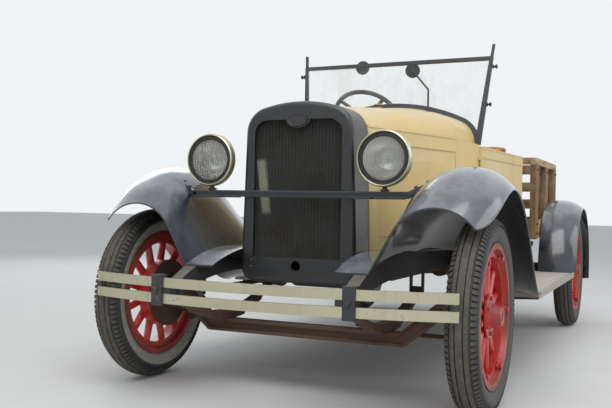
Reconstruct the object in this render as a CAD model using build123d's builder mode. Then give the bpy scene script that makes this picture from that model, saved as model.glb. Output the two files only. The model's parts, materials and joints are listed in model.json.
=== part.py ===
"""Open roadster utility of the late 1920s with a stake bed, right-hand drive, in millimetres.

+X is the car's left, -Y its front and +Z up. The origin is on the ground, in the middle of the
car's length and width. Places along the car are given as distances behind the front axle.
"""

import math
import os

from build123d import *

os.makedirs("parts", exist_ok=True)

# Running clearances
SLIP = 0.3
RUNNING_GAP = 3.0
PANEL_GAP = 6.0

# Wheels and axles
WHEELBASE = 2718.0
TRACK = 1515.0
TYRE_RADIUS = 381.0
TYRE_WIDTH = 118.0
RIM_RADIUS = 278.0
RIM_WIDTH = 100.0
RIM_BASE_RADIUS = 262.0
RIM_WALL = 6.0
FELLOE_INNER_RADIUS = 226.0
FELLOE_WIDTH = 60.0
SPOKES = 12
SPOKE_FOOT_RADIUS = 21.0
SPOKE_TIP_RADIUS = 15.0
SPINDLE_RADIUS = 20.0
HUB_RADIUS = 48.0
HUB_FLANGE_RADIUS = 85.0
HUB_FLANGE_WALL = 8.0
HUB_NOSE_RADIUS = 36.0
HUB_NOSE = 76.0
HUB_TAIL = 60.0
NUT_POCKET_RADIUS = 29.0
NUT_POCKET_DEPTH = 24.0
NUT_RADIUS = 21.0
NUT_THICKNESS = 14.0
DRUM_RADIUS = 150.0
DRUM_WALL = 6.0
DRUM_OPEN_EDGE = 74.0
SPOKE_HALF_WIDTH = 22.0
BACKING_WALL = 5.0

# Overall length, from bumper face to the frame's tail
FRONT_REACH = 515.0
REAR_REACH = 480.0
FRONT_AXLE_Y = (FRONT_REACH - WHEELBASE - REAR_REACH) / 2
REAR_AXLE_Y = FRONT_AXLE_Y + WHEELBASE
WHEEL_X = TRACK / 2
AXLE_Z = TYRE_RADIUS

# Frame
FRAME_TOP = 600.0
RAIL_DEPTH = 100.0
RAIL_FLANGE = 50.0
RAIL_WALL = 6.0
RAIL_OUTER_X = 395.0
HORN_REACH = 440.0
HORN_TIP_TOP = 470.0
HORN_TIP_DEPTH = 44.0
HORN_START = 50.0
CROSSMEMBER_WIDTH = 70.0
CROSSMEMBERS = (130.0, 1180.0, 2250.0)
RADIATOR_ARM_Z = (560.0, 590.0)
RADIATOR_ARM_WIDTH = 50.0
TAIL_MEMBER_WIDTH = 50.0

# Front axle and steering
KINGPIN_X = 640.0
KINGPIN_RADIUS = 11.0
BEAM_TOP = 287.0
BEAM_DEPTH = 54.0
BEAM_WIDTH = 50.0
BEAM_WEB = 12.0
BEAM_FLANGE = 11.0
BEAM_DROP_START = 430.0
BEAM_DROP_END = 575.0
AXLE_EYE_RADIUS = 24.0
AXLE_EYE_HEIGHT = 70.0
YOKE_HEIGHT = 120.0
YOKE_REACH = 50.0
YOKE_WIDTH = 46.0
TIE_ARM = 140.0
TIE_ROD_Z = 262.0
TIE_ROD_RADIUS = 9.0
TIE_EYE_RADIUS = 17.0
TIE_EYE_HEIGHT = 18.0
TIE_PIN_RADIUS = 8.0
TIE_EYE_SLACK = 1.0
ROD_BITE = 4.0
DRAG_ARM = 185.0
DRAG_Z = 412.0
DRAG_ROD_RADIUS = 12.0
DRAG_ARM_THICKNESS = 16.0
PITMAN_ARM = 150.0
PITMAN_THICKNESS = 14.0
PITMAN_SHAFT_RADIUS = 16.0
PITMAN_GAP = 16.0
STEERING_WHEEL_X = -244.0
STEERING_WHEEL_Y = 1380.0
STEERING_WHEEL_Z = 1313.0
STEERING_WHEEL_RADIUS = 205.0
STEERING_RIM_RADIUS = 13.0
STEERING_HUB_RADIUS = 34.0
STEERING_HUB_BACK = 14.0
STEERING_HUB_HEIGHT = 26.0
COLUMN_RADIUS = 20.0
COLUMN_TILT = 45.0

# Springs
SPRING_WIDTH = 48.0
LEAF = 8.0
FRONT_LEAVES = (830.0, 720.0, 560.0, 400.0, 240.0)
REAR_LEAVES = (900.0, 800.0, 680.0, 540.0, 400.0, 260.0)
FRONT_SPRING_ARC = 936.0
REAR_SPRING_ARC = 1500.0
SPRING_X = RAIL_OUTER_X - RAIL_FLANGE / 2
SPRING_EYE_RADIUS = 16.0
REAR_SPRING_X = RAIL_OUTER_X + SPRING_WIDTH / 2 + SLIP
SHACKLE_WALL = 6.0
REAR_AXLE_TUBE_RADIUS = 38.0
BANJO_RADIUS = 130.0
BANJO_WIDTH = 150.0
TORQUE_TUBE_RADIUS = 36.0
TORQUE_TUBE_FRONT_Z = 460.0
GEARBOX_END = 1050.0

# Engine and exhaust
ENGINE_FRONT = 170.0
ENGINE_REAR = 640.0
ENGINE_WIDTH = 300.0
ENGINE_BOTTOM = 430.0
ENGINE_TOP = 1010.0
GEARBOX_WIDTH = 220.0
GEARBOX_HEIGHT = 150.0
ENGINE_ARM = 400.0
ENGINE_ARM_Z = (540.0, 580.0)
ENGINE_ARM_WIDTH = 30.0
EXHAUST_X = 215.0
EXHAUST_Z = 462.0
EXHAUST_RADIUS = 20.0
MUFFLER_RADIUS = 58.0
MUFFLER_FRONT = 1350.0
MUFFLER_REAR = 1900.0
EXHAUST_END = 3150.0
EXHAUST_PORT = 480.0
EXHAUST_PORT_Z = 700.0
EXHAUST_BEND = 40.0
HANGER_WIDTH = 20.0
HANGER_LENGTH = 30.0

# Radiator
SHELL_FRONT = -85.0
SHELL_REAR = 80.0
SHELL_HALF_WIDTH = 264.0
SHELL_TOP_HALF_WIDTH = 246.0
SHELL_BOTTOM = 466.0
SHELL_TOP = 1223.0
SHELL_BELT = 1095.0
SHELL_SHOULDER = 109.0
MOUTH_HALF_WIDTH = 200.0
MOUTH_TOP = 1146.0
MOUTH_CORNER = 60.0
BOSS_WIDTH = 110.0
BOSS_HEIGHT = 70.0
SHELL_WALL = 14.0
SHELL_BOTTOM_CORNER = 60.0
SHELL_EDGE_ROUND = 22.0
CORE_FRONT = -52.0
CORE_DEPTH = 70.0
CORE_SLOTS = 26
CORE_SLOT_DEPTH = 8.0
TANK_TOP = 571.0
CORE_BOTTOM = 565.0
CRANK_HOLE_Z = 538.0
CRANK_HOLE_RADIUS = 22.0

# Bonnet and cowl
HOOD_FRONT = SHELL_REAR + PANEL_GAP
COWL_FRONT = 775.0
HOOD_REAR = COWL_FRONT - PANEL_GAP
HOOD_REAR_HALF_WIDTH = 440.0
HOOD_REAR_FOOT = 462.0
HOOD_REAR_TOP = 1290.0
HOOD_REAR_SHOULDER = 125.0
HOOD_BELT = 1134.0
SILL_SHEET = 6.0
HOOD_BOTTOM = FRAME_TOP + SLIP + SILL_SHEET + SLIP
SHEET = 6.0
COWL_REAR = 1054.0
COWL_TOP_REAR = 1106.0
COWL_REAR_HALF_WIDTH = 498.0
COWL_REAR_TOP = 1333.0
COWL_REAR_BELT = 1118.0
COWL_REAR_SHOULDER = 140.0
HOOD_STRIP_BOTTOM = 1063.0
STRIP_RISE = 2.0
MOULDING_RISE = 5.0
MOULDING_HEIGHT = 9.0
LOUVRES = 25
LOUVRE_FRONT = 132.0
LOUVRE_REAR = 660.0
LOUVRE_BOTTOM = 665.0
LOUVRE_TOP = 1000.0
LOUVRE_WIDTH = 15.0
LOUVRE_LIFT = 6.0
LOUVRE_BITE = 2.0
CAP_X = -37.0
CAP_PLACE = 1000.0
CAP_RADIUS = 27.0
CAP_NECK_RADIUS = 22.0
CAP_NECK_HEIGHT = 5.0
CAP_HEIGHT = 17.0
CAP_ROUND = 4.0
DOME_FRONT_HALF_WIDTH = 436.0
DOME_REAR_HALF_WIDTH = 478.0
COWL_WALL = 20.0

# Cab
BELT = 1112.0
BODY_STRIP_BOTTOM = 1055.0
FLOOR_THICKNESS = 34.0
WALL = 42.0
CAB_REAR = 2075.0
CAB_REAR_HALF_WIDTH = 568.0
CAB_CORNER = 110.0
DOOR_FRONT = COWL_REAR + PANEL_GAP
DOOR_LENGTH = 660.0
DOOR_REAR = DOOR_FRONT + DOOR_LENGTH
DOOR_BOTTOM = 640.0
HINGE_RADIUS = 8.0
HINGE_BARREL = 40.0
HINGE_LEAF = 60.0
HINGE_LEAF_THICKNESS = 5.0
HINGE_HEIGHTS = (780.0, 1020.0)
SEAT_FRONT = 1490.0
SEAT_BASE_TOP = 700.0
SEAT_CUSHION_TOP = 860.0
SEAT_SIDE_GAP = 10.0
SEAT_BASE_INSET = 10.0
SEAT_REAR = 1990.0
SEAT_BACK_THICKNESS = 100.0
SEAT_BACK_TOP = 1228.0
SEAT_BACK_LEAN = 45.0
SEAT_BACK_END_DROP = 50.0
SEAT_CORNER = 60.0
SEAT_ROUND = 30.0
DASH_FRONT = 1035.0
DASH_THICKNESS = 14.0
DASH_BOTTOM = 1060.0

# Controls
GEAR_LEVER_X = 0.0
BRAKE_LEVER_X = -52.0
LEVER_PLACE = 1110.0
LEVER_RADIUS = 8.0
LEVER_BOOT_RADIUS = 34.0
LEVER_BOOT_HEIGHT = 30.0
LEVER_KNOB_RADIUS = 20.0
GEAR_LEVER_TOP = 950.0
GEAR_LEVER_RAKE = 90.0
BRAKE_LEVER_FOOT = 20.0
BRAKE_LEVER_TOP = 905.0
BRAKE_LEVER_RAKE = 70.0
PEDALS = ((-165.0, 56.0), (-315.0, 56.0), (-385.0, 34.0))
PEDAL_FOOT = 850.0
PEDAL_PAD = 925.0
PEDAL_TOP = 760.0
PEDAL_ARM = 22.0
PEDAL_PAD_LENGTH = 66.0
PEDAL_PAD_WALL = 5.0

# Windscreen
POST_FOOT = (487.0, 1062.0, 1121.0)
POST_CORNER = (532.0, 1150.0, 1580.0)
POST_TIP = (541.0, 1164.0, 1655.0)
POST_WIDTH = 30.0
POST_DEPTH = 16.0
PRONG_WIDTH = 13.0
RAIL_RADIUS = 10.0
GLASS_THICKNESS = 6.0
LOWER_MEMBER = 22.0
MIRROR_X = -199.0
MIRROR_RADIUS = 39.0
MIRROR_THICKNESS = 12.0
MIRROR_STANDOFF = 14.0
STALK_X = 222.0
STALK_FOOT_Y = 1050.0
STALK_FOOT_Z = 1300.0
STALK_RADIUS = 5.0
STALK_FOOT_RADIUS = 16.0
STALK_BEND = 110.0
STALK_HEAD = (126.0, 1070.0, 1526.0)

# Lamps and bumper
LAMP_X = 392.0
LAMP_Z = 979.0
LAMP_FACE = -140.0
LAMP_RIM_RADIUS = 113.0
LAMP_LENS_RADIUS = 88.0
LAMP_DEPTH = 135.0
LAMP_WALL = 8.0
LAMP_RIM_DEPTH = 26.0
LENS_THICKNESS = 8.0
LENS_FLUTES = 13
LENS_FLUTE_DEPTH = 2.0
LAMP_STUD_RADIUS = 9.0
LAMP_BAR_Z = 839.0
LAMP_BAR_Y = -108.0
LAMP_BAR_X = 490.0
LAMP_BAR_RADIUS = 11.0
LAMP_BAR_END = (580.0, -60.0, 893.0)
BUMPER_HALF_WIDTH = 764.0
BUMPER_SWEEP = 119.0
BUMPER_BAR_THICKNESS = 9.0
BUMPER_BARS = ((482.0, 38.0), (420.0, 38.0))
BUMPER_LINK_INSET = 14.0
BUMPER_LINK_RADIUS = 7.0
CLAMP_X = 400.0
CLAMP_WIDTH = 46.0
CLAMP_THICKNESS = 12.0
CLAMP_Z = (392.0, 512.0)

# Fenders and running boards
FENDER_SHEET = 6.0
FENDER_BEAD = 9.0
FRONT_FENDER_OVERHANG = 14.0
REAR_FENDER_OVERHANG = 4.0
BOARD_EDGE_WIDTH = 12.0
BOARD_EDGE_RISE = 3.0
RUNNING_BOARD_TOP = 390.0
RUNNING_BOARD_THICKNESS = 26.0
RUNNING_BOARD_INNER = 600.0
RUNNING_BOARD_OUTER = 842.0
RUNNING_BOARD_FRONT = 890.0
RUNNING_BOARD_REAR = 2270.0
APRON_TOP_X = 548.0
APRON_FOOT_X = 592.0
APRON_TUCK = 70.0
SILL_TUCK = 25.0
SILL_BITE = 3.0
FENDER_FRONT = -300.0
REAR_FENDER_OUTER = RUNNING_BOARD_OUTER + REAR_FENDER_OVERHANG
REAR_FENDER_CROWN_X = 730.0
REAR_FENDER_RADIUS = 476.0
REAR_FENDER_INNER_RADIUS = 458.0
REAR_FENDER_LIP_RADIUS = 424.0
REAR_FENDER_TAIL_ANGLE = 12.0

# Stake bed
BED_FRONT = 2150.0
BED_REAR = 3060.0
BED_HALF_WIDTH = 618.0
BOLSTERS = (2206.0, 2603.0, 3000.0)
BOLSTER_WIDTH = 60.0
BED_FLOOR_BOTTOM = 640.0
BED_FLOOR_THICKNESS = 26.0
BED_TOP = 1120.0
STAKE_WIDTH = 105.0
STAKE_THICKNESS = 40.0
STAKES = (2204.0, 2605.0, 3006.0)
TOP_RAIL_HEIGHT = 44.0
SIDE_BOARD_BOTTOM = 607.0
SIDE_BOARD_HEIGHT = 118.0
SIDE_BOARD_THICKNESS = 24.0
TAIL_THICKNESS = 26.0
TAIL_HALF_WIDTH = 572.0
TAIL_SLATS = 4
TAIL_SLAT_HEIGHT = 70.0
TAIL_HINGE_X = 400.0
TAIL_HINGE_Z = 653.0
TAIL_HINGE_RADIUS = 10.0
TAIL_HINGE_WIDTH = 60.0


def aft(distance):
    """Y of a place this far behind the front axle."""
    return FRONT_AXLE_Y + distance


def station(distance):
    """Upright plane across the car, this far behind the front axle, drawn in X and Z."""
    return Plane(origin=(0, aft(distance), 0), x_dir=(1, 0, 0), z_dir=(0, -1, 0))


def side_plane(x):
    """Upright plane along the car at this X, drawn in Y and Z."""
    return Plane(origin=(x, 0, 0), x_dir=(0, 1, 0), z_dir=(1, 0, 0))


def save(piece, name):
    """Label a finished piece and write it as its own file."""
    piece.part.label = name
    export_step(piece.part, f"parts/{name}.step")


def save_pair(piece, name):
    """Write a left-hand piece and its mirror image."""
    save(piece, f"{name}_left")
    with BuildPart() as twin:
        add(piece.part)
        mirror(about=Plane.YZ, mode=Mode.REPLACE)
    save(twin, f"{name}_right")


def save_both(piece, name):
    """Write a left-hand piece with its mirror image as one node."""
    with BuildPart() as both:
        add(piece.part)
        mirror(about=Plane.YZ)
    save(both, name)


def circle_through(first, second, third):
    """Centre and radius of the circle through three points of a sketch."""
    (ax, ay), (bx, by), (cx, cy) = first, second, third
    twice_area = 2 * (ax * (by - cy) + bx * (cy - ay) + cx * (ay - by))
    a, b, c = ax ** 2 + ay ** 2, bx ** 2 + by ** 2, cx ** 2 + cy ** 2
    x = (a * (by - cy) + b * (cy - ay) + c * (ay - by)) / twice_area
    y = (a * (cx - bx) + b * (ax - cx) + c * (bx - ax)) / twice_area
    return (x, y), math.hypot(ax - x, ay - y)


def draw_fender(foot, shoulder, crown, lip):
    """Draw a fender's section: a straight flank from foot to shoulder, then an arc to the lip."""
    (centre_x, centre_y), radius = circle_through(shoulder, crown, lip)
    scale = (radius - FENDER_SHEET) / radius
    low_shoulder, low_crown, low_lip = (
        (centre_x + (x - centre_x) * scale, centre_y + (y - centre_y) * scale) for x, y in (shoulder, crown, lip)
    )
    flank = math.hypot(shoulder[0] - foot[0], shoulder[1] - foot[1])
    low_foot = (
        foot[0] + FENDER_SHEET * (shoulder[1] - foot[1]) / flank,
        foot[1] - FENDER_SHEET * (shoulder[0] - foot[0]) / flank,
    )
    Line(foot, shoulder)
    ThreePointArc(shoulder, crown, lip)
    draw_bead(lip, low_lip)
    ThreePointArc(low_lip, low_crown, low_shoulder)
    Line(low_shoulder, low_foot)
    Line(low_foot, foot)


def draw_arched(foot_half, foot_z, half_width, belt_z, top_z, shoulder, inset=0):
    """Draw a closed body section: flat foot, straight sides, round shoulders and a crowned top."""
    foot_half, half_width = foot_half - inset, half_width - inset
    top_z, shoulder = top_z - inset, shoulder - inset
    across = half_width - shoulder
    rise = top_z - belt_z
    crown = (across ** 2 + rise ** 2 - shoulder ** 2) / (2 * (rise - shoulder))
    turn = math.atan2(crown - rise, across)
    middle = (across + shoulder * math.cos(turn / 2), belt_z + shoulder * math.sin(turn / 2))
    joint = (across + shoulder * math.cos(turn), belt_z + shoulder * math.sin(turn))
    Line((-foot_half, foot_z), (foot_half, foot_z))
    Line((foot_half, foot_z), (half_width, belt_z))
    ThreePointArc((half_width, belt_z), middle, joint)
    ThreePointArc(joint, (0, top_z), (-joint[0], joint[1]))
    ThreePointArc((-joint[0], joint[1]), (-middle[0], middle[1]), (-half_width, belt_z))
    Line((-half_width, belt_z), (-foot_half, foot_z))


def dome_section(distance, foot_z, inset=0):
    """Draw the cowl's dome at this distance, a straight run between its front and rear sections."""
    share = (distance - COWL_FRONT) / (COWL_TOP_REAR - COWL_FRONT)
    half_width, belt_z, top_z, shoulder = (
        front + share * (rear - front)
        for front, rear in (
            (DOME_FRONT_HALF_WIDTH, DOME_REAR_HALF_WIDTH), (HOOD_BELT, COWL_REAR_BELT),
            (HOOD_REAR_TOP, COWL_REAR_TOP), (HOOD_REAR_SHOULDER, COWL_REAR_SHOULDER),
        )
    )
    draw_arched(half_width, foot_z, half_width, belt_z, top_z, shoulder, inset)


def shell_half_width(height):
    """Half width of the radiator shell at this height, below its belt."""
    share = (height - SHELL_BOTTOM) / (SHELL_BELT - SHELL_BOTTOM)
    return SHELL_HALF_WIDTH + share * (SHELL_TOP_HALF_WIDTH - SHELL_HALF_WIDTH)


def cab_half_width(distance):
    """Outer half width of the cab at this distance."""
    share = (distance - COWL_REAR) / (CAB_REAR - COWL_REAR)
    return COWL_REAR_HALF_WIDTH + share * (CAB_REAR_HALF_WIDTH - COWL_REAR_HALF_WIDTH)


def draw_bead(edge, low_edge):
    """Draw the wired edge of a sheet: an arc that bulges past its two corners."""
    across_x, across_y = low_edge[0] - edge[0], low_edge[1] - edge[1]
    reach = FENDER_BEAD / math.hypot(across_x, across_y)
    tip = ((edge[0] + low_edge[0]) / 2 - across_y * reach, (edge[1] + low_edge[1]) / 2 + across_x * reach)
    ThreePointArc(edge, tip, low_edge)


def spring_tip_z(seat_z, leaves, arc):
    """Height of the middle of the longest leaf at its ends."""
    centre_z = seat_z + len(leaves) * LEAF + arc
    return centre_z - math.sqrt((arc + LEAF / 2) ** 2 - (leaves[0] / 2) ** 2)


seat_half_width = cab_half_width(SEAT_FRONT) - WALL - SEAT_SIDE_GAP
rear_seat_z = AXLE_Z + REAR_AXLE_TUBE_RADIUS + SLIP
front_seat_z = BEAM_TOP + SLIP
front_tip_z = spring_tip_z(front_seat_z, FRONT_LEAVES, FRONT_SPRING_ARC)
rear_tip_z = spring_tip_z(rear_seat_z, REAR_LEAVES, REAR_SPRING_ARC)

# Tyre, about the X axis
bead_half = RIM_WIDTH / 2 - RIM_WALL - SLIP
bead_radius = RIM_BASE_RADIUS + SLIP
shoulder_radius = TYRE_RADIUS - 15
shoulder_half = TYRE_WIDTH / 2 - 12
with BuildPart() as tyre:
    with BuildSketch(Plane.XY):
        with BuildLine():
            Line((-bead_half, bead_radius), (bead_half, bead_radius))
            Line((bead_half, bead_radius), (bead_half, RIM_RADIUS + 3))
            ThreePointArc((bead_half, RIM_RADIUS + 3), (TYRE_WIDTH / 2, (RIM_RADIUS + shoulder_radius) / 2),
                          (shoulder_half, shoulder_radius))
            ThreePointArc((shoulder_half, shoulder_radius), (0, TYRE_RADIUS), (-shoulder_half, shoulder_radius))
            ThreePointArc((-shoulder_half, shoulder_radius), (-TYRE_WIDTH / 2, (RIM_RADIUS + shoulder_radius) / 2),
                          (-bead_half, RIM_RADIUS + 3))
            Line((-bead_half, RIM_RADIUS + 3), (-bead_half, bead_radius))
        make_face()
    revolve(axis=Axis.X)

# Wooden wheel with its steel rim, hub and brake drum, about the X axis, outer face at +X
felloe_half = FELLOE_WIDTH / 2
rim_half = RIM_WIDTH / 2
drum_face = -SPOKE_HALF_WIDTH
flange_outer = SPOKE_HALF_WIDTH + HUB_FLANGE_WALL
with BuildPart() as wheel:
    with BuildSketch(Plane.XY):
        with BuildLine():
            Polyline(
                (-rim_half, RIM_RADIUS), (-rim_half + RIM_WALL, RIM_RADIUS),
                (-rim_half + RIM_WALL, RIM_BASE_RADIUS), (rim_half - RIM_WALL, RIM_BASE_RADIUS),
                (rim_half - RIM_WALL, RIM_RADIUS), (rim_half, RIM_RADIUS),
                (rim_half, RIM_BASE_RADIUS - RIM_WALL), (felloe_half, RIM_BASE_RADIUS - 2 * RIM_WALL),
                (felloe_half, FELLOE_INNER_RADIUS), (-felloe_half, FELLOE_INNER_RADIUS),
                (-felloe_half, RIM_BASE_RADIUS - 2 * RIM_WALL), (-rim_half, RIM_BASE_RADIUS - RIM_WALL),
                close=True,
            )
        make_face()
        with BuildLine():
            Polyline(
                (-HUB_TAIL, SPINDLE_RADIUS + SLIP), (HUB_NOSE - NUT_POCKET_DEPTH, SPINDLE_RADIUS + SLIP),
                (HUB_NOSE - NUT_POCKET_DEPTH, NUT_POCKET_RADIUS), (HUB_NOSE, NUT_POCKET_RADIUS),
                (HUB_NOSE, HUB_NOSE_RADIUS), (flange_outer, HUB_RADIUS),
                (flange_outer, HUB_FLANGE_RADIUS), (SPOKE_HALF_WIDTH, HUB_FLANGE_RADIUS),
                (SPOKE_HALF_WIDTH, HUB_RADIUS), (drum_face, HUB_RADIUS),
                (drum_face, DRUM_RADIUS), (-DRUM_OPEN_EDGE, DRUM_RADIUS),
                (-DRUM_OPEN_EDGE, DRUM_RADIUS - DRUM_WALL), (drum_face - DRUM_WALL, DRUM_RADIUS - DRUM_WALL),
                (drum_face - DRUM_WALL, HUB_RADIUS), (-HUB_TAIL, HUB_RADIUS - 8),
                close=True,
            )
        make_face()
    revolve(axis=Axis.X)
    for index in range(SPOKES):
        angle = math.radians(360 / SPOKES * (index + 0.5))
        spoke_axis = Plane(origin=(0, 0, 0), x_dir=(1, 0, 0), z_dir=(0, math.cos(angle), math.sin(angle)))
        with BuildSketch(spoke_axis.offset(HUB_RADIUS - 2)):
            Circle(SPOKE_FOOT_RADIUS)
        with BuildSketch(spoke_axis.offset(FELLOE_INNER_RADIUS + 3)):
            Circle(SPOKE_TIP_RADIUS)
        loft()

for end, y in (("front", FRONT_AXLE_Y), ("rear", REAR_AXLE_Y)):
    for part_name, source in (("wheel", wheel), ("tyre", tyre)):
        with BuildPart() as placed:
            with Locations((WHEEL_X, y, AXLE_Z)):
                add(source.part)
        save_pair(placed, f"{part_name}_{end}")

# Frame: two channel rails with down-swept front horns, cross members and running board brackets
rail_bottom = FRAME_TOP - RAIL_DEPTH
pitman_pivot_z = DRAG_Z + PITMAN_ARM
pitman_y = STEERING_WHEEL_Y - (STEERING_WHEEL_Z - pitman_pivot_z)
rail_inner_x = RAIL_OUTER_X - RAIL_FLANGE
rail_tail = WHEELBASE + REAR_REACH
bracket_stations = (960.0, 2130.0)
board_seat = RUNNING_BOARD_TOP - RUNNING_BOARD_THICKNESS - SLIP
spring_fork = SPRING_EYE_RADIUS + RUNNING_GAP
with BuildPart() as frame:
    with BuildSketch(side_plane(rail_inner_x)):
        with BuildLine():
            horn_top = Line((aft(rail_tail), FRAME_TOP), (aft(HORN_START), FRAME_TOP))
            TangentArc(horn_top @ 1, (aft(-HORN_REACH), HORN_TIP_TOP), tangent=(-1, 0))
            Line((aft(-HORN_REACH), HORN_TIP_TOP), (aft(-HORN_REACH), HORN_TIP_TOP - HORN_TIP_DEPTH))
            horn_low = Line((aft(rail_tail), rail_bottom), (aft(HORN_START), rail_bottom))
            TangentArc(horn_low @ 1, (aft(-HORN_REACH), HORN_TIP_TOP - HORN_TIP_DEPTH), tangent=(-1, 0))
            Line((aft(rail_tail), rail_bottom), (aft(rail_tail), FRAME_TOP))
        make_face()
    extrude(amount=RAIL_FLANGE)
    with BuildSketch(side_plane(rail_inner_x)):
        with Locations((aft((HORN_START + rail_tail) / 2), FRAME_TOP - RAIL_DEPTH / 2)):
            Rectangle(rail_tail - HORN_START - 2 * TAIL_MEMBER_WIDTH, RAIL_DEPTH - 2 * RAIL_WALL)
    extrude(amount=RAIL_FLANGE - RAIL_WALL, mode=Mode.SUBTRACT)
    mirror(about=Plane.YZ)
    for place in CROSSMEMBERS + (rail_tail - TAIL_MEMBER_WIDTH,):
        with BuildSketch(Plane.XY.offset(rail_bottom + RAIL_WALL)):
            with Locations((0, aft(place))):
                Rectangle(2 * (RAIL_OUTER_X - RAIL_WALL), CROSSMEMBER_WIDTH)
        extrude(amount=RAIL_DEPTH - 2 * RAIL_WALL)
    for place in bracket_stations:
        with BuildSketch(station(place)):
            with BuildLine():
                Polyline(
                    (RAIL_OUTER_X, FRAME_TOP - 30), (RAIL_OUTER_X, rail_bottom),
                    (RUNNING_BOARD_INNER - 30, board_seat - 26), (RUNNING_BOARD_OUTER - 20, board_seat - 12),
                    (RUNNING_BOARD_OUTER - 20, board_seat), (RUNNING_BOARD_INNER - 30, board_seat),
                    close=True,
                )
            make_face()
            mirror(about=Plane.YZ)
        extrude(amount=15, both=True)
    for place, rail_low in ((-FRONT_LEAVES[0] / 2, HORN_TIP_TOP), (FRONT_LEAVES[0] / 2, rail_bottom + RAIL_WALL)):
        for side in (-1, 1):
            cheek_x = SPRING_X + side * (SPRING_WIDTH / 2 + SLIP)
            with BuildSketch(side_plane(cheek_x)):
                with Locations((aft(place), front_tip_z)):
                    Circle(SPRING_EYE_RADIUS)
                with Locations((aft(place), (front_tip_z + rail_low) / 2)):
                    Rectangle(2 * SPRING_EYE_RADIUS, rail_low - front_tip_z)
            extrude(amount=side * SHACKLE_WALL)
            with BuildSketch(side_plane(-cheek_x)):
                with Locations((aft(place), front_tip_z)):
                    Circle(SPRING_EYE_RADIUS)
                with Locations((aft(place), (front_tip_z + rail_low) / 2)):
                    Rectangle(2 * SPRING_EYE_RADIUS, rail_low - front_tip_z)
            extrude(amount=-side * SHACKLE_WALL)
    for side in (-1, 1):
        with BuildSketch(side_plane(side * (SPRING_X - SPRING_WIDTH / 2 - SLIP))):
            with Locations((aft(-FRONT_LEAVES[0] / 2), front_tip_z)):
                Circle(spring_fork)
        extrude(amount=side * (SPRING_WIDTH + 2 * SLIP), mode=Mode.SUBTRACT)
        arm_height = RADIATOR_ARM_Z[1] - RADIATOR_ARM_Z[0]
        arm_length = rail_inner_x - shell_half_width(RADIATOR_ARM_Z[0]) - SLIP
        with Locations((side * (rail_inner_x - arm_length / 2), FRONT_AXLE_Y, RADIATOR_ARM_Z[0] + arm_height / 2)):
            Box(arm_length, RADIATOR_ARM_WIDTH, arm_height)
    with BuildSketch(side_plane(-RAIL_OUTER_X - RAIL_WALL)):
        with Locations((aft(pitman_y), pitman_pivot_z)):
            Circle(PITMAN_SHAFT_RADIUS + SLIP)
    extrude(amount=3 * RAIL_WALL, mode=Mode.SUBTRACT)
save(frame, "chassis_frame")

# Front axle: a dropped I-beam that rises to an eye round each kingpin
eye_top = AXLE_Z + AXLE_EYE_HEIGHT / 2
eye_bottom = AXLE_Z - AXLE_EYE_HEIGHT / 2
beam_bottom = BEAM_TOP - BEAM_DEPTH
with BuildPart() as front_axle:
    with BuildSketch(station(-BEAM_WIDTH / 2)):
        with BuildLine():
            Polyline(
                (0, BEAM_TOP), (BEAM_DROP_START, BEAM_TOP), (BEAM_DROP_END, eye_top - 6), (KINGPIN_X, eye_top - 6),
                (KINGPIN_X, eye_bottom + 6), (BEAM_DROP_END + 20, eye_bottom + 6),
                (BEAM_DROP_START + 20, beam_bottom), (0, beam_bottom),
                close=True,
            )
        make_face()
        mirror(about=Plane.YZ)
    extrude(amount=-BEAM_WIDTH)
    flange_cut = (BEAM_WIDTH - BEAM_WEB) / 2
    for face in (-BEAM_WIDTH / 2, BEAM_WIDTH / 2 - flange_cut):
        with BuildSketch(station(face)):
            with BuildLine():
                Polyline(
                    (0, BEAM_TOP - BEAM_FLANGE), (BEAM_DROP_START - 4, BEAM_TOP - BEAM_FLANGE),
                    (BEAM_DROP_END - 8, eye_top - 6 - BEAM_FLANGE), (KINGPIN_X - 30, eye_top - 6 - BEAM_FLANGE),
                    (KINGPIN_X - 30, eye_bottom + 6 + BEAM_FLANGE), (BEAM_DROP_END + 24, eye_bottom + 6 + BEAM_FLANGE),
                    (BEAM_DROP_START + 14, beam_bottom + BEAM_FLANGE), (0, beam_bottom + BEAM_FLANGE),
                    close=True,
                )
            make_face()
            mirror(about=Plane.YZ)
        extrude(amount=-flange_cut, mode=Mode.SUBTRACT)
    with BuildSketch(Plane.XY.offset(eye_bottom)):
        with Locations((KINGPIN_X, FRONT_AXLE_Y), (-KINGPIN_X, FRONT_AXLE_Y)):
            Circle(AXLE_EYE_RADIUS)
    extrude(amount=AXLE_EYE_HEIGHT)
    with BuildSketch(Plane.XY.offset(eye_bottom)):
        with Locations((KINGPIN_X, FRONT_AXLE_Y), (-KINGPIN_X, FRONT_AXLE_Y)):
            Circle(KINGPIN_RADIUS + SLIP)
    extrude(amount=AXLE_EYE_HEIGHT, mode=Mode.SUBTRACT)
save(front_axle, "front_axle")

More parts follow.
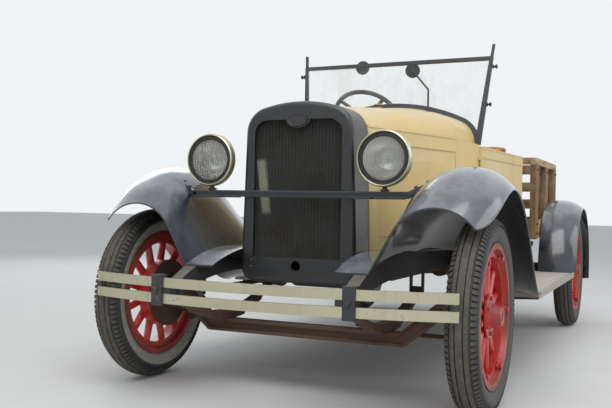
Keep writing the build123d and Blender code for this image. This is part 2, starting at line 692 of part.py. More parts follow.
# Knuckles: yoke and kingpin, spindle with its nut, brake backing plate and steering arms
yoke_gap_top = eye_top + SLIP
yoke_gap_bottom = eye_bottom - SLIP
yoke_top = AXLE_Z + YOKE_HEIGHT / 2
yoke_bottom = AXLE_Z - YOKE_HEIGHT / 2
backing_x = WHEEL_X - DRUM_OPEN_EDGE - RUNNING_GAP - BACKING_WALL
nut_x = WHEEL_X + HUB_NOSE - NUT_POCKET_DEPTH + RUNNING_GAP
tie_eye_top = TIE_ROD_Z + TIE_EYE_HEIGHT / 2
with BuildPart() as knuckle:
    with BuildSketch(Plane.XY.offset(yoke_bottom)):
        with Locations((KINGPIN_X, FRONT_AXLE_Y)):
            Circle(AXLE_EYE_RADIUS)
        with Locations((KINGPIN_X + YOKE_REACH / 2, FRONT_AXLE_Y)):
            Rectangle(YOKE_REACH, YOKE_WIDTH)
    extrude(amount=YOKE_HEIGHT)
    with BuildSketch(Plane.XY.offset(yoke_gap_bottom)):
        with Locations((KINGPIN_X, FRONT_AXLE_Y)):
            Circle(AXLE_EYE_RADIUS + RUNNING_GAP)
        with Locations((KINGPIN_X - AXLE_EYE_RADIUS, FRONT_AXLE_Y)):
            Rectangle(2 * AXLE_EYE_RADIUS, 3 * YOKE_WIDTH)
    extrude(amount=yoke_gap_top - yoke_gap_bottom, mode=Mode.SUBTRACT)
    with BuildSketch(Plane.XY.offset(yoke_bottom)):
        with Locations((KINGPIN_X, FRONT_AXLE_Y)):
            Circle(KINGPIN_RADIUS)
    extrude(amount=YOKE_HEIGHT)
    with BuildSketch(side_plane(KINGPIN_X + YOKE_REACH - 2)):
        with Locations((FRONT_AXLE_Y, AXLE_Z)):
            Circle(SPINDLE_RADIUS)
    extrude(amount=nut_x + NUT_THICKNESS + 6 - (KINGPIN_X + YOKE_REACH - 2))
    with BuildSketch(side_plane(nut_x)):
        with Locations((FRONT_AXLE_Y, AXLE_Z)):
            RegularPolygon(NUT_RADIUS + 4, 6)
    extrude(amount=NUT_THICKNESS)
    with BuildSketch(side_plane(backing_x)):
        with Locations((FRONT_AXLE_Y, AXLE_Z)):
            Circle(DRUM_RADIUS)
    extrude(amount=BACKING_WALL)
    with BuildSketch(side_plane(KINGPIN_X)):
        with BuildLine():
            Polyline(
                (aft(5), yoke_bottom), (aft(5), yoke_gap_bottom), (aft(30), yoke_gap_bottom),
                (aft(TIE_ARM + TIE_EYE_RADIUS), tie_eye_top + 17), (aft(TIE_ARM + TIE_EYE_RADIUS), tie_eye_top + 1),
                (aft(TIE_ARM - TIE_EYE_RADIUS), tie_eye_top + 1),
                close=True,
            )
        make_face()
    extrude(amount=9, both=True)
    with BuildSketch(Plane.XY.offset(TIE_ROD_Z - TIE_EYE_HEIGHT / 2 - 6)):
        with Locations((KINGPIN_X, aft(TIE_ARM))):
            Circle(TIE_PIN_RADIUS)
    extrude(amount=TIE_EYE_HEIGHT + 12)
save(knuckle, "knuckle_left")

drag_ball_x = KINGPIN_X - DRAG_ARM
with BuildPart() as drag_knuckle:
    add(knuckle.part)
    with BuildSketch(Plane.XY.offset(yoke_top - DRAG_ARM_THICKNESS)):
        with BuildLine():
            Polyline(
                (KINGPIN_X, aft(-20)), (KINGPIN_X, aft(20)), (drag_ball_x, aft(15)), (drag_ball_x, aft(-15)),
                close=True,
            )
        make_face()
        with Locations((drag_ball_x, FRONT_AXLE_Y)):
            Circle(16)
    extrude(amount=DRAG_ARM_THICKNESS)
    with BuildSketch(Plane.XY.offset(DRAG_Z - 14)):
        with Locations((drag_ball_x, FRONT_AXLE_Y)):
            Circle(TIE_PIN_RADIUS)
    extrude(amount=yoke_top - DRAG_Z)
    mirror(about=Plane.YZ, mode=Mode.REPLACE)
save(drag_knuckle, "knuckle_right")

# Tie rod behind the axle, with an eye round each knuckle arm's pin
with BuildPart() as tie_rod:
    with BuildSketch(side_plane(-KINGPIN_X + TIE_EYE_RADIUS - ROD_BITE)):
        with Locations((aft(TIE_ARM), TIE_ROD_Z)):
            Circle(TIE_ROD_RADIUS)
    extrude(amount=2 * (KINGPIN_X - TIE_EYE_RADIUS + ROD_BITE))
    with BuildSketch(Plane.XY.offset(TIE_ROD_Z - TIE_EYE_HEIGHT / 2)):
        with Locations((KINGPIN_X, aft(TIE_ARM)), (-KINGPIN_X, aft(TIE_ARM))):
            Circle(TIE_EYE_RADIUS)
    extrude(amount=TIE_EYE_HEIGHT)
    with BuildSketch(Plane.XY.offset(TIE_ROD_Z - TIE_EYE_HEIGHT)):
        with Locations((KINGPIN_X, aft(TIE_ARM))):
            Circle(TIE_PIN_RADIUS + SLIP)
        with Locations((-KINGPIN_X, aft(TIE_ARM))):
            Circle(TIE_PIN_RADIUS + TIE_EYE_SLACK)
    extrude(amount=2 * TIE_EYE_HEIGHT, mode=Mode.SUBTRACT)
save(tie_rod, "tie_rod")

# Drag link beside the right rail, from the knuckle's arm back to the pitman arm
with BuildPart() as drag_link:
    with BuildSketch(station(TIE_EYE_RADIUS - ROD_BITE)):
        with Locations((-drag_ball_x, DRAG_Z)):
            Circle(DRAG_ROD_RADIUS)
    extrude(amount=-(pitman_y - TIE_EYE_RADIUS + ROD_BITE))
    with BuildSketch(Plane.XY.offset(DRAG_Z - TIE_EYE_HEIGHT / 2)):
        with Locations((-drag_ball_x, FRONT_AXLE_Y)):
            Circle(TIE_EYE_RADIUS)
    extrude(amount=TIE_EYE_HEIGHT)
    with BuildSketch(Plane.XY.offset(DRAG_Z - TIE_EYE_HEIGHT)):
        with Locations((-drag_ball_x, FRONT_AXLE_Y)):
            Circle(TIE_PIN_RADIUS + SLIP)
    extrude(amount=2 * TIE_EYE_HEIGHT, mode=Mode.SUBTRACT)
save(drag_link, "drag_link")

# Pitman arm outside the right rail, its ball pin pointing at the drag link
pitman_inner_x = RAIL_OUTER_X + PITMAN_GAP
pitman_outer_x = pitman_inner_x + PITMAN_THICKNESS
ball_gap = 5.5
with BuildPart() as pitman:
    with BuildSketch(side_plane(-pitman_outer_x)):
        with Locations((aft(pitman_y), pitman_pivot_z)):
            Circle(PITMAN_SHAFT_RADIUS + 10)
        with Locations((aft(pitman_y), DRAG_Z)):
            Circle(15)
        with BuildLine():
            Polyline(
                (aft(pitman_y - 20), pitman_pivot_z), (aft(pitman_y + 20), pitman_pivot_z),
                (aft(pitman_y + 13), DRAG_Z), (aft(pitman_y - 13), DRAG_Z),
                close=True,
            )
        make_face()
    extrude(amount=PITMAN_THICKNESS)
    with BuildSketch(side_plane(-pitman_outer_x)):
        with Locations((aft(pitman_y), DRAG_Z)):
            Circle(9)
    extrude(amount=-(drag_ball_x - DRAG_ROD_RADIUS - ball_gap - pitman_outer_x))
save(pitman, "pitman_arm")

# Steering column and box: the box hangs on the rail, its cross shaft ends at the pitman arm
column_length = (STEERING_WHEEL_Y - pitman_y) * math.sqrt(2) - STEERING_HUB_BACK - SLIP
column_axis = Plane(
    origin=(STEERING_WHEEL_X, aft(pitman_y), pitman_pivot_z),
    x_dir=(1, 0, 0),
    z_dir=(0, math.cos(math.radians(COLUMN_TILT)), math.sin(math.radians(COLUMN_TILT))),
)
with BuildPart() as column:
    with BuildSketch(column_axis):
        Circle(COLUMN_RADIUS)
    extrude(amount=column_length)
    with BuildSketch(side_plane(STEERING_WHEEL_X + 45)):
        with Locations((aft(pitman_y), pitman_pivot_z)):
            Circle(48)
    extrude(amount=-(rail_inner_x + STEERING_WHEEL_X + 45 - SLIP))
    with BuildSketch(side_plane(STEERING_WHEEL_X)):
        with Locations((aft(pitman_y), pitman_pivot_z)):
            Circle(PITMAN_SHAFT_RADIUS)
    extrude(amount=-(pitman_inner_x - SLIP + STEERING_WHEEL_X))
save(column, "steering_column")

# Steering wheel: rim, four spokes and hub, square to the column
wheel_centre = (STEERING_WHEEL_X, aft(STEERING_WHEEL_Y), STEERING_WHEEL_Z)
wheel_plane = Plane(origin=wheel_centre, x_dir=(1, 0, 0), z_dir=column_axis.z_dir)
with BuildPart() as steering_wheel:
    with BuildSketch(Plane(origin=wheel_centre, x_dir=(1, 0, 0), z_dir=wheel_plane.y_dir)):
        with Locations((STEERING_WHEEL_RADIUS - STEERING_RIM_RADIUS, 0)):
            Circle(STEERING_RIM_RADIUS)
    revolve(axis=Axis(wheel_centre, column_axis.z_dir))
    with BuildSketch(wheel_plane.offset(-STEERING_HUB_BACK)):
        Circle(STEERING_HUB_RADIUS)
    extrude(amount=STEERING_HUB_HEIGHT)
    for index in range(4):
        angle = math.radians(90 * index + 45)
        spoke_dir = wheel_plane.x_dir * math.cos(angle) + wheel_plane.y_dir * math.sin(angle)
        with BuildSketch(Plane(origin=wheel_centre, x_dir=wheel_plane.z_dir, z_dir=spoke_dir).offset(20)):
            RectangleRounded(10, 22, 4)
        extrude(amount=STEERING_WHEEL_RADIUS - STEERING_RIM_RADIUS - 24)
save(steering_wheel, "steering_wheel")


# Springs: the front pair stands on the beam, the rear pair on the axle tube
spring_sets = (
    # x, middle behind the front axle, seat height, leaf lengths, arc radius, height of the eyes
    (SPRING_X, 0, front_seat_z, FRONT_LEAVES, FRONT_SPRING_ARC, front_tip_z),
    (REAR_SPRING_X, WHEELBASE, rear_seat_z, REAR_LEAVES, REAR_SPRING_ARC, rear_tip_z),
)
with BuildPart() as springs:
    for x, middle, seat_z, leaves, arc, tip_z in spring_sets:
        centre_z = seat_z + len(leaves) * LEAF + arc
        for index, length in enumerate(leaves):
            half = length / 2
            top_radius = arc + index * LEAF
            low_radius = top_radius + LEAF
            top_end = centre_z - math.sqrt(top_radius ** 2 - half ** 2)
            low_end = centre_z - math.sqrt(low_radius ** 2 - half ** 2)
            with BuildSketch(side_plane(x - SPRING_WIDTH / 2)):
                with BuildLine():
                    ThreePointArc((aft(middle - half), top_end), (aft(middle), centre_z - top_radius),
                                  (aft(middle + half), top_end))
                    Line((aft(middle + half), top_end), (aft(middle + half), low_end))
                    ThreePointArc((aft(middle + half), low_end), (aft(middle), centre_z - low_radius),
                                  (aft(middle - half), low_end))
                    Line((aft(middle - half), low_end), (aft(middle - half), top_end))
                make_face()
            extrude(amount=SPRING_WIDTH)
        with BuildSketch(side_plane(x - SPRING_WIDTH / 2)):
            for place in (middle - leaves[0] / 2, middle + leaves[0] / 2):
                with Locations((aft(place), tip_z)):
                    Circle(SPRING_EYE_RADIUS)
        extrude(amount=SPRING_WIDTH)
    mirror(about=Plane.YZ)
save(springs, "springs")

# Rear axle: banjo housing, tubes, spindles, backing plates and the torque tube
torque_start = GEARBOX_END + SLIP
with BuildPart() as rear_axle:
    with BuildSketch(side_plane(-backing_x - BACKING_WALL)):
        with Locations((REAR_AXLE_Y, AXLE_Z)):
            Circle(REAR_AXLE_TUBE_RADIUS)
    extrude(amount=2 * (backing_x + BACKING_WALL))
    with BuildSketch(side_plane(-nut_x - NUT_THICKNESS - 6)):
        with Locations((REAR_AXLE_Y, AXLE_Z)):
            Circle(SPINDLE_RADIUS)
    extrude(amount=2 * (nut_x + NUT_THICKNESS + 6))
    for side in (-1, 1):
        with BuildSketch(side_plane(side * nut_x)):
            with Locations((REAR_AXLE_Y, AXLE_Z)):
                RegularPolygon(NUT_RADIUS + 4, 6)
        extrude(amount=side * NUT_THICKNESS)
        with BuildSketch(side_plane(side * backing_x)):
            with Locations((REAR_AXLE_Y, AXLE_Z)):
                Circle(DRUM_RADIUS)
        extrude(amount=side * BACKING_WALL)
    with BuildSketch(Plane.XY.offset(AXLE_Z)):
        with BuildLine():
            Polyline(
                (-BANJO_WIDTH, REAR_AXLE_Y), (-BANJO_WIDTH / 2, REAR_AXLE_Y + BANJO_RADIUS * 0.85),
                (-20, REAR_AXLE_Y + BANJO_RADIUS), (20, REAR_AXLE_Y + BANJO_RADIUS),
                (BANJO_WIDTH / 2, REAR_AXLE_Y + BANJO_RADIUS * 0.85), (BANJO_WIDTH, REAR_AXLE_Y),
                close=True,
            )
        make_face()
    revolve(axis=Axis((0, REAR_AXLE_Y, AXLE_Z), (1, 0, 0)))
    with BuildSketch(station(torque_start)):
        with Locations((0, TORQUE_TUBE_FRONT_Z)):
            Circle(TORQUE_TUBE_RADIUS)
    with BuildSketch(station(WHEELBASE - BANJO_RADIUS + 20)):
        with Locations((0, AXLE_Z)):
            Circle(TORQUE_TUBE_RADIUS + 20)
    loft()
save(rear_axle, "rear_axle")

# Engine and gearbox as one plain block
with BuildPart() as engine:
    with BuildSketch(station(ENGINE_FRONT)):
        with Locations((0, (ENGINE_BOTTOM + ENGINE_TOP) / 2)):
            RectangleRounded(ENGINE_WIDTH, ENGINE_TOP - ENGINE_BOTTOM, 40)
    extrude(amount=-(ENGINE_REAR - ENGINE_FRONT))
    with BuildSketch(station(ENGINE_REAR)):
        with Locations((0, ENGINE_BOTTOM + GEARBOX_HEIGHT / 2)):
            RectangleRounded(GEARBOX_WIDTH, GEARBOX_HEIGHT, 30)
    extrude(amount=-(GEARBOX_END - ENGINE_REAR), taper=4)
    arm_middle_z = (ENGINE_ARM_Z[0] + ENGINE_ARM_Z[1]) / 2
    with Locations((0, aft(ENGINE_ARM), arm_middle_z)):
        Box(2 * (rail_inner_x - SLIP), ENGINE_ARM_WIDTH, ENGINE_ARM_Z[1] - ENGINE_ARM_Z[0])
save(engine, "engine_and_gearbox")

# Exhaust: down from the engine's side, back through the muffler, with hangers from the cross members
pipe_start = (ENGINE_WIDTH / 2 + SLIP, aft(EXHAUST_PORT), EXHAUST_PORT_Z)
hanger_top = rail_bottom + RAIL_WALL - SLIP
with BuildPart() as exhaust:
    with BuildLine():
        FilletPolyline(
            pipe_start, (EXHAUST_X, aft(EXHAUST_PORT), EXHAUST_PORT_Z), (EXHAUST_X, aft(EXHAUST_PORT), EXHAUST_Z),
            (EXHAUST_X, aft(EXHAUST_END), EXHAUST_Z),
            radius=EXHAUST_BEND,
        )
    with BuildSketch(Plane(origin=pipe_start, z_dir=(1, 0, 0))):
        Circle(EXHAUST_RADIUS)
    sweep()
    with BuildSketch(station(MUFFLER_FRONT)):
        with Locations((EXHAUST_X, EXHAUST_Z)):
            Circle(MUFFLER_RADIUS)
    extrude(amount=-(MUFFLER_REAR - MUFFLER_FRONT))
    for place in (CROSSMEMBERS[1], CROSSMEMBERS[2], rail_tail - TAIL_MEMBER_WIDTH - HANGER_LENGTH / 2):
        with Locations((EXHAUST_X, aft(place), (EXHAUST_Z + hanger_top) / 2)):
            Box(HANGER_WIDTH, HANGER_LENGTH, hanger_top - EXHAUST_Z)
save(exhaust, "exhaust")

# Radiator shell: arched frame with rounded front edge, mouth, oval boss and crank hole
with BuildPart() as shell:
    with BuildSketch(station(SHELL_FRONT)):
        with BuildLine():
            draw_arched(SHELL_HALF_WIDTH, SHELL_BOTTOM, SHELL_TOP_HALF_WIDTH, SHELL_BELT, SHELL_TOP, SHELL_SHOULDER)
        make_face()
        fillet(vertices().group_by(Axis.Y)[0], SHELL_BOTTOM_CORNER)
    extrude(amount=-(SHELL_REAR - SHELL_FRONT))
    fillet(faces().sort_by(Axis.Y)[0].edges(), SHELL_EDGE_ROUND)
    with BuildSketch(station(SHELL_FRONT + SHELL_WALL)):
        with BuildLine():
            draw_arched(SHELL_HALF_WIDTH, SHELL_BOTTOM + SHELL_WALL, SHELL_TOP_HALF_WIDTH, SHELL_BELT, SHELL_TOP,
                        SHELL_SHOULDER, SHELL_WALL)
        make_face()
        fillet(vertices().group_by(Axis.Y)[0], SHELL_BOTTOM_CORNER - SHELL_WALL)
    extrude(amount=-(SHELL_REAR - SHELL_FRONT), mode=Mode.SUBTRACT)
    with BuildSketch(station(SHELL_FRONT)):
        with Locations((0, (TANK_TOP + MOUTH_TOP) / 2)):
            Rectangle(2 * MOUTH_HALF_WIDTH, MOUTH_TOP - TANK_TOP)
        fillet(vertices().group_by(Axis.Y)[-1], MOUTH_CORNER)
        with Locations((0, MOUTH_TOP)):
            Ellipse(BOSS_WIDTH / 2, BOSS_HEIGHT / 2, mode=Mode.SUBTRACT)
        with Locations((0, CRANK_HOLE_Z)):
            Circle(CRANK_HOLE_RADIUS)
    extrude(amount=-2 * SHELL_WALL, mode=Mode.SUBTRACT)
save(shell, "radiator_shell")

# Radiator core, filling the shell from side to side, slotted between its upright tubes
core_inset = SHELL_WALL + SLIP
with BuildPart() as core:
    with BuildSketch(station(CORE_FRONT)):
        with BuildLine():
            draw_arched(SHELL_HALF_WIDTH, SHELL_BOTTOM, SHELL_TOP_HALF_WIDTH, SHELL_BELT, SHELL_TOP, SHELL_SHOULDER,
                        core_inset)
        make_face()
        with Locations((0, CORE_BOTTOM)):
            Rectangle(3 * SHELL_HALF_WIDTH, 2 * (CORE_BOTTOM - SHELL_BOTTOM + 1), align=(Align.CENTER, Align.MAX),
                      mode=Mode.SUBTRACT)
    extrude(amount=-CORE_DEPTH)
    slot_pitch = 2 * MOUTH_HALF_WIDTH / CORE_SLOTS
    with BuildSketch(station(CORE_FRONT)):
        for index in range(CORE_SLOTS):
            with Locations(((index - (CORE_SLOTS - 1) / 2) * slot_pitch, (TANK_TOP + MOUTH_TOP) / 2)):
                Rectangle(slot_pitch / 2, MOUTH_TOP - TANK_TOP)
    extrude(amount=-CORE_SLOT_DEPTH, mode=Mode.SUBTRACT)
save(core, "radiator_core")

# Bonnet: a sheet with raised bands, split at the belt into its top and two louvred sides
hood_rows = (
    # behind the front axle, half width at the foot and at the belt, belt, top, shoulder radius
    (HOOD_FRONT, SHELL_HALF_WIDTH, SHELL_TOP_HALF_WIDTH, SHELL_BELT, SHELL_TOP, SHELL_SHOULDER),
    (HOOD_REAR, HOOD_REAR_FOOT, HOOD_REAR_HALF_WIDTH, HOOD_BELT, HOOD_REAR_TOP, HOOD_REAR_SHOULDER),
)
hood_bands = (
    # rise from the sheet, bottom and top
    (STRIP_RISE, HOOD_STRIP_BOTTOM, HOOD_BELT),
    (MOULDING_RISE, HOOD_STRIP_BOTTOM, HOOD_STRIP_BOTTOM + MOULDING_HEIGHT),
    (MOULDING_RISE, HOOD_BELT - MOULDING_HEIGHT, HOOD_BELT),
)


def hood_form(foot_z, inset):
    """Solid between the bonnet's two end sections, drawn down to this foot and inset by this much."""
    with BuildPart() as form:
        for place, foot_half, half_width, belt_z, top_z, shoulder in hood_rows:
            with BuildSketch(station(place)):
                with BuildLine():
                    draw_arched(foot_half, foot_z, half_width, belt_z, top_z, shoulder, inset)
                make_face()
        loft()
    return form.part


def hood_side(distance, height):
    """Point on the bonnet's left side at this distance and height, below the belt."""
    share = (distance - HOOD_FRONT) / (HOOD_REAR - HOOD_FRONT)
    foot, belt, belt_z = (
        front + share * (rear - front)
        for front, rear in (
            (SHELL_HALF_WIDTH, HOOD_REAR_FOOT), (SHELL_TOP_HALF_WIDTH, HOOD_REAR_HALF_WIDTH), (SHELL_BELT, HOOD_BELT),
        )
    )
    x = foot + (height - HOOD_BOTTOM) / (belt_z - HOOD_BOTTOM) * (belt - foot)
    return Vector(x, aft(distance), height)


with BuildPart() as hood:
    add(hood_form(HOOD_BOTTOM, 0))
    for rise, low_z, high_z in hood_bands:
        with BuildPart() as band:
            add(hood_form(HOOD_BOTTOM, -rise))
            with Locations((0, aft((HOOD_FRONT + HOOD_REAR) / 2), (low_z + high_z) / 2)):
                Box(3 * HOOD_REAR_FOOT, HOOD_REAR - HOOD_FRONT, high_z - low_z, mode=Mode.INTERSECT)
        add(band.part)
    add(hood_form(HOOD_BOTTOM - 1, SHEET), mode=Mode.SUBTRACT)
louvre_middle = (LOUVRE_FRONT + LOUVRE_REAR) / 2
louvre_pitch = (LOUVRE_REAR - LOUVRE_FRONT) / (LOUVRES - 1)
louvre_foot = hood_side(louvre_middle, LOUVRE_BOTTOM)
louvre_rise = hood_side(louvre_middle, LOUVRE_TOP) - louvre_foot
louvre_plane = Plane(
    origin=louvre_foot, x_dir=hood_side(LOUVRE_REAR, LOUVRE_BOTTOM) - louvre_foot, z_dir=louvre_rise,
)
with BuildPart() as louvres:
    with BuildSketch(louvre_plane):
        for index in range(LOUVRES):
            with Locations(((index - (LOUVRES - 1) / 2) * louvre_pitch, 0)):
                Polygon(
                    (-LOUVRE_WIDTH / 2, LOUVRE_BITE), (LOUVRE_WIDTH / 2, LOUVRE_BITE), (LOUVRE_WIDTH / 2, -LOUVRE_LIFT),
                    (-LOUVRE_WIDTH / 2, 0),
                    align=None,
                )
    extrude(amount=louvre_rise.length)
    mirror(about=Plane.YZ)
with BuildPart() as bonnet_top:
    add(hood.part)
    split(bisect_by=Plane.XY.offset(HOOD_BELT + SLIP / 2), keep=Keep.TOP)
save(bonnet_top, "bonnet_top")
with BuildPart() as bonnet_sides:
    add(hood.part)
    split(bisect_by=Plane.XY.offset(HOOD_BELT - SLIP / 2), keep=Keep.BOTTOM)
    add(louvres.part)
save(bonnet_sides, "bonnet_sides")

# Cowl: body sides with a belt shelf, the dome above them and the firewall in front
floor_bottom = FRAME_TOP + SLIP
floor_top = floor_bottom + FLOOR_THICKNESS
wall_bottom = floor_top + SLIP
with BuildPart() as cowl:
    for place, foot_half, half_width, belt_z in (
        (COWL_FRONT, HOOD_REAR_FOOT, HOOD_REAR_HALF_WIDTH, HOOD_BELT),
        (COWL_REAR, COWL_REAR_HALF_WIDTH, COWL_REAR_HALF_WIDTH, COWL_REAR_BELT),
    ):
        with BuildSketch(station(place)):
            with BuildLine():
                Polyline((-foot_half, wall_bottom), (foot_half, wall_bottom), (half_width, belt_z),
                         (-half_width, belt_z), close=True)
            make_face()
    loft()
    for place in (COWL_FRONT, COWL_TOP_REAR):
        with BuildSketch(station(place)):
            with BuildLine():
                dome_section(place, HOOD_BELT - 3 * COWL_WALL / 2)
            make_face()
    loft()
    for place, foot_half, half_width, belt_z in (
        (COWL_FRONT + COWL_WALL, HOOD_REAR_FOOT, HOOD_REAR_HALF_WIDTH, HOOD_BELT),
        (COWL_REAR + 1, COWL_REAR_HALF_WIDTH, COWL_REAR_HALF_WIDTH, COWL_REAR_BELT),
    ):
        with BuildSketch(station(place)):
            with BuildLine():
                Polyline(
                    (COWL_WALL - foot_half, wall_bottom - 1), (foot_half - COWL_WALL, wall_bottom - 1),
                    (half_width - COWL_WALL, belt_z - COWL_WALL), (COWL_WALL - half_width, belt_z - COWL_WALL),
                    close=True,
                )
            make_face()
    loft(mode=Mode.SUBTRACT)
    for place in (COWL_FRONT + COWL_WALL, COWL_TOP_REAR + 1):
        with BuildSketch(station(place)):
            with BuildLine():
                dome_section(place, HOOD_BELT - 3 * COWL_WALL, COWL_WALL)
            make_face()
    loft(mode=Mode.SUBTRACT)
    with BuildSketch(Plane.XY.offset(HOOD_BELT - 2 * COWL_WALL)):
        with Locations((0, aft((COWL_REAR + COWL_TOP_REAR) / 2 + 1))):
            Rectangle(3 * COWL_REAR_HALF_WIDTH, COWL_TOP_REAR - COWL_REAR + 2)
    extrude(amount=COWL_REAR_BELT - HOOD_BELT + 2 * COWL_WALL, mode=Mode.SUBTRACT)
    with BuildSketch(column_axis):
        Circle(COLUMN_RADIUS + RUNNING_GAP)
    extrude(amount=column_length, mode=Mode.SUBTRACT)
    cap_share = (CAP_PLACE - COWL_FRONT) / (COWL_TOP_REAR - COWL_FRONT)
    cap_seat_z = HOOD_REAR_TOP + cap_share * (COWL_REAR_TOP - HOOD_REAR_TOP)
    with BuildSketch(Plane.XY.offset(cap_seat_z - COWL_WALL / 2)):
        with Locations((CAP_X, aft(CAP_PLACE))):
            Circle(CAP_NECK_RADIUS)
    extrude(amount=COWL_WALL / 2 + CAP_NECK_HEIGHT)
    with BuildSketch(Plane.XY.offset(cap_seat_z + CAP_NECK_HEIGHT)):
        with Locations((CAP_X, aft(CAP_PLACE))):
            Circle(CAP_RADIUS)
    extrude(amount=CAP_HEIGHT)
    fillet(faces().sort_by(Axis.Z)[-1].edges(), CAP_ROUND)
    barrel_x = cab_half_width(DOOR_FRONT) + HINGE_RADIUS + SLIP
    barrel_y = aft((COWL_REAR + DOOR_FRONT) / 2)
    for middle_z in HINGE_HEIGHTS:
        for start_z in (middle_z - HINGE_BARREL - SLIP, middle_z + HINGE_BARREL / 2 + SLIP):
            with BuildSketch(Plane.XY.offset(start_z)):
                for side in (-1, 1):
                    with Locations((side * barrel_x, barrel_y)):
                        Circle(HINGE_RADIUS)
                    with BuildLine():
                        Polyline(
                            (side * (cab_half_width(COWL_REAR) - 1), aft(COWL_REAR)),
                            (side * barrel_x, barrel_y - 2), (side * barrel_x, barrel_y - HINGE_RADIUS),
                            (side * (cab_half_width(COWL_REAR) - 1), aft(COWL_REAR - 2 * HINGE_RADIUS)),
                            close=True,
                        )
                    make_face()
            extrude(amount=HINGE_BARREL / 2)
save(cowl, "cowl")

# Cab floor on the frame, with the seat's base
with BuildPart() as cab_floor:
    with BuildSketch(Plane.XY.offset(floor_bottom)):
        Polygon(
            (-HOOD_REAR_FOOT, aft(COWL_FRONT)), (HOOD_REAR_FOOT, aft(COWL_FRONT)),
            (cab_half_width(COWL_REAR), aft(COWL_REAR)), (cab_half_width(CAB_REAR), aft(CAB_REAR)),
            (-cab_half_width(CAB_REAR), aft(CAB_REAR)), (-cab_half_width(COWL_REAR), aft(COWL_REAR)),
            align=None,
        )
        fillet(vertices().group_by(Axis.Y)[-1], CAB_CORNER)
    extrude(amount=FLOOR_THICKNESS)
    with BuildSketch(Plane.XY.offset(floor_top - 1)):
        with Locations((0, aft((SEAT_FRONT + SEAT_REAR) / 2))):
            Rectangle(2 * (seat_half_width - SEAT_BASE_INSET), SEAT_REAR - SEAT_FRONT - 2 * SEAT_BASE_INSET)
    extrude(amount=SEAT_BASE_TOP - floor_top + 1)
save(cab_floor, "cab_floor")

# Controls: gear and brake levers that stand on the floor, and three pedals below the dome
floor_seat = floor_top + SLIP
with BuildPart() as controls:
    with BuildSketch(Plane.XY.offset(floor_seat)):
        with Locations((GEAR_LEVER_X, aft(LEVER_PLACE))):
            Circle(LEVER_BOOT_RADIUS)
    with BuildSketch(Plane.XY.offset(floor_seat + LEVER_BOOT_HEIGHT)):
        with Locations((GEAR_LEVER_X, aft(LEVER_PLACE))):
            Circle(2 * LEVER_RADIUS)
    loft()
    lever_foot = Vector(GEAR_LEVER_X, aft(LEVER_PLACE), floor_seat + LEVER_BOOT_HEIGHT / 2)
    lever_head = Vector(GEAR_LEVER_X, aft(LEVER_PLACE + GEAR_LEVER_RAKE), GEAR_LEVER_TOP)
    with BuildSketch(Plane(origin=lever_foot, z_dir=lever_head - lever_foot)):
        Circle(LEVER_RADIUS)
    extrude(amount=(lever_head - lever_foot).length)
    with Locations(lever_head):
        Sphere(LEVER_KNOB_RADIUS)
    with BuildSketch(side_plane(BRAKE_LEVER_X)):
        Polygon(
            (aft(LEVER_PLACE - BRAKE_LEVER_FOOT), floor_seat), (aft(LEVER_PLACE + BRAKE_LEVER_FOOT), floor_seat),
            (aft(LEVER_PLACE + BRAKE_LEVER_RAKE + LEVER_RADIUS), BRAKE_LEVER_TOP),
            (aft(LEVER_PLACE + BRAKE_LEVER_RAKE - LEVER_RADIUS), BRAKE_LEVER_TOP),
            align=None,
        )
    extrude(amount=LEVER_RADIUS / 2, both=True)
    for x, width in PEDALS:
        with BuildSketch(side_plane(x)):
            Polygon(
                (aft(PEDAL_FOOT), floor_seat), (aft(PEDAL_FOOT + PEDAL_ARM), floor_seat),
                (aft(PEDAL_PAD), PEDAL_TOP - PEDAL_ARM), (aft(PEDAL_PAD - PEDAL_ARM), PEDAL_TOP),
                align=None,
            )
        extrude(amount=PEDAL_ARM / 4, both=True)
        with BuildSketch(side_plane(x)):
            with Locations((aft(PEDAL_PAD - PEDAL_ARM / 2), PEDAL_TOP - PEDAL_ARM / 2)):
                Rectangle(PEDAL_PAD_LENGTH, 2 * PEDAL_PAD_WALL, rotation=-45)
        extrude(amount=width / 2, both=True)
save(controls, "controls")

# Cab body: rear quarters and back in one wall
quarter_front = DOOR_REAR + PANEL_GAP
body_bands = (
    # rise from the panel, bottom and top
    (STRIP_RISE, BODY_STRIP_BOTTOM, BELT),
    (MOULDING_RISE, BODY_STRIP_BOTTOM, BODY_STRIP_BOTTOM + MOULDING_HEIGHT),
    (MOULDING_RISE, BELT - MOULDING_HEIGHT, BELT),
)
with BuildPart() as cab_body:
    for rise, low_z, high_z in ((0, wall_bottom, BELT),) + body_bands:
        front_half, rear_half = cab_half_width(quarter_front) + rise, cab_half_width(CAB_REAR) + rise
        with BuildSketch(Plane.XY.offset(low_z)):
            Polygon(
                (front_half, aft(quarter_front)), (rear_half, aft(CAB_REAR + rise)),
                (-rear_half, aft(CAB_REAR + rise)), (-front_half, aft(quarter_front)),
                align=None,
            )
            fillet(vertices().group_by(Axis.Y)[-1], CAB_CORNER + rise)
        extrude(amount=high_z - low_z)
    with BuildSketch(Plane.XY.offset(wall_bottom)):
        Polygon(
            (cab_half_width(DOOR_FRONT) - WALL, aft(DOOR_FRONT)),
            (cab_half_width(CAB_REAR - WALL) - WALL, aft(CAB_REAR - WALL)),
            (WALL - cab_half_width(CAB_REAR - WALL), aft(CAB_REAR - WALL)),
            (WALL - cab_half_width(DOOR_FRONT), aft(DOOR_FRONT)),
            align=None,
        )
        fillet(vertices().group_by(Axis.Y)[-1], CAB_CORNER - WALL)
    extrude(amount=BELT - wall_bottom, mode=Mode.SUBTRACT)
save(cab_body, "cab_body")

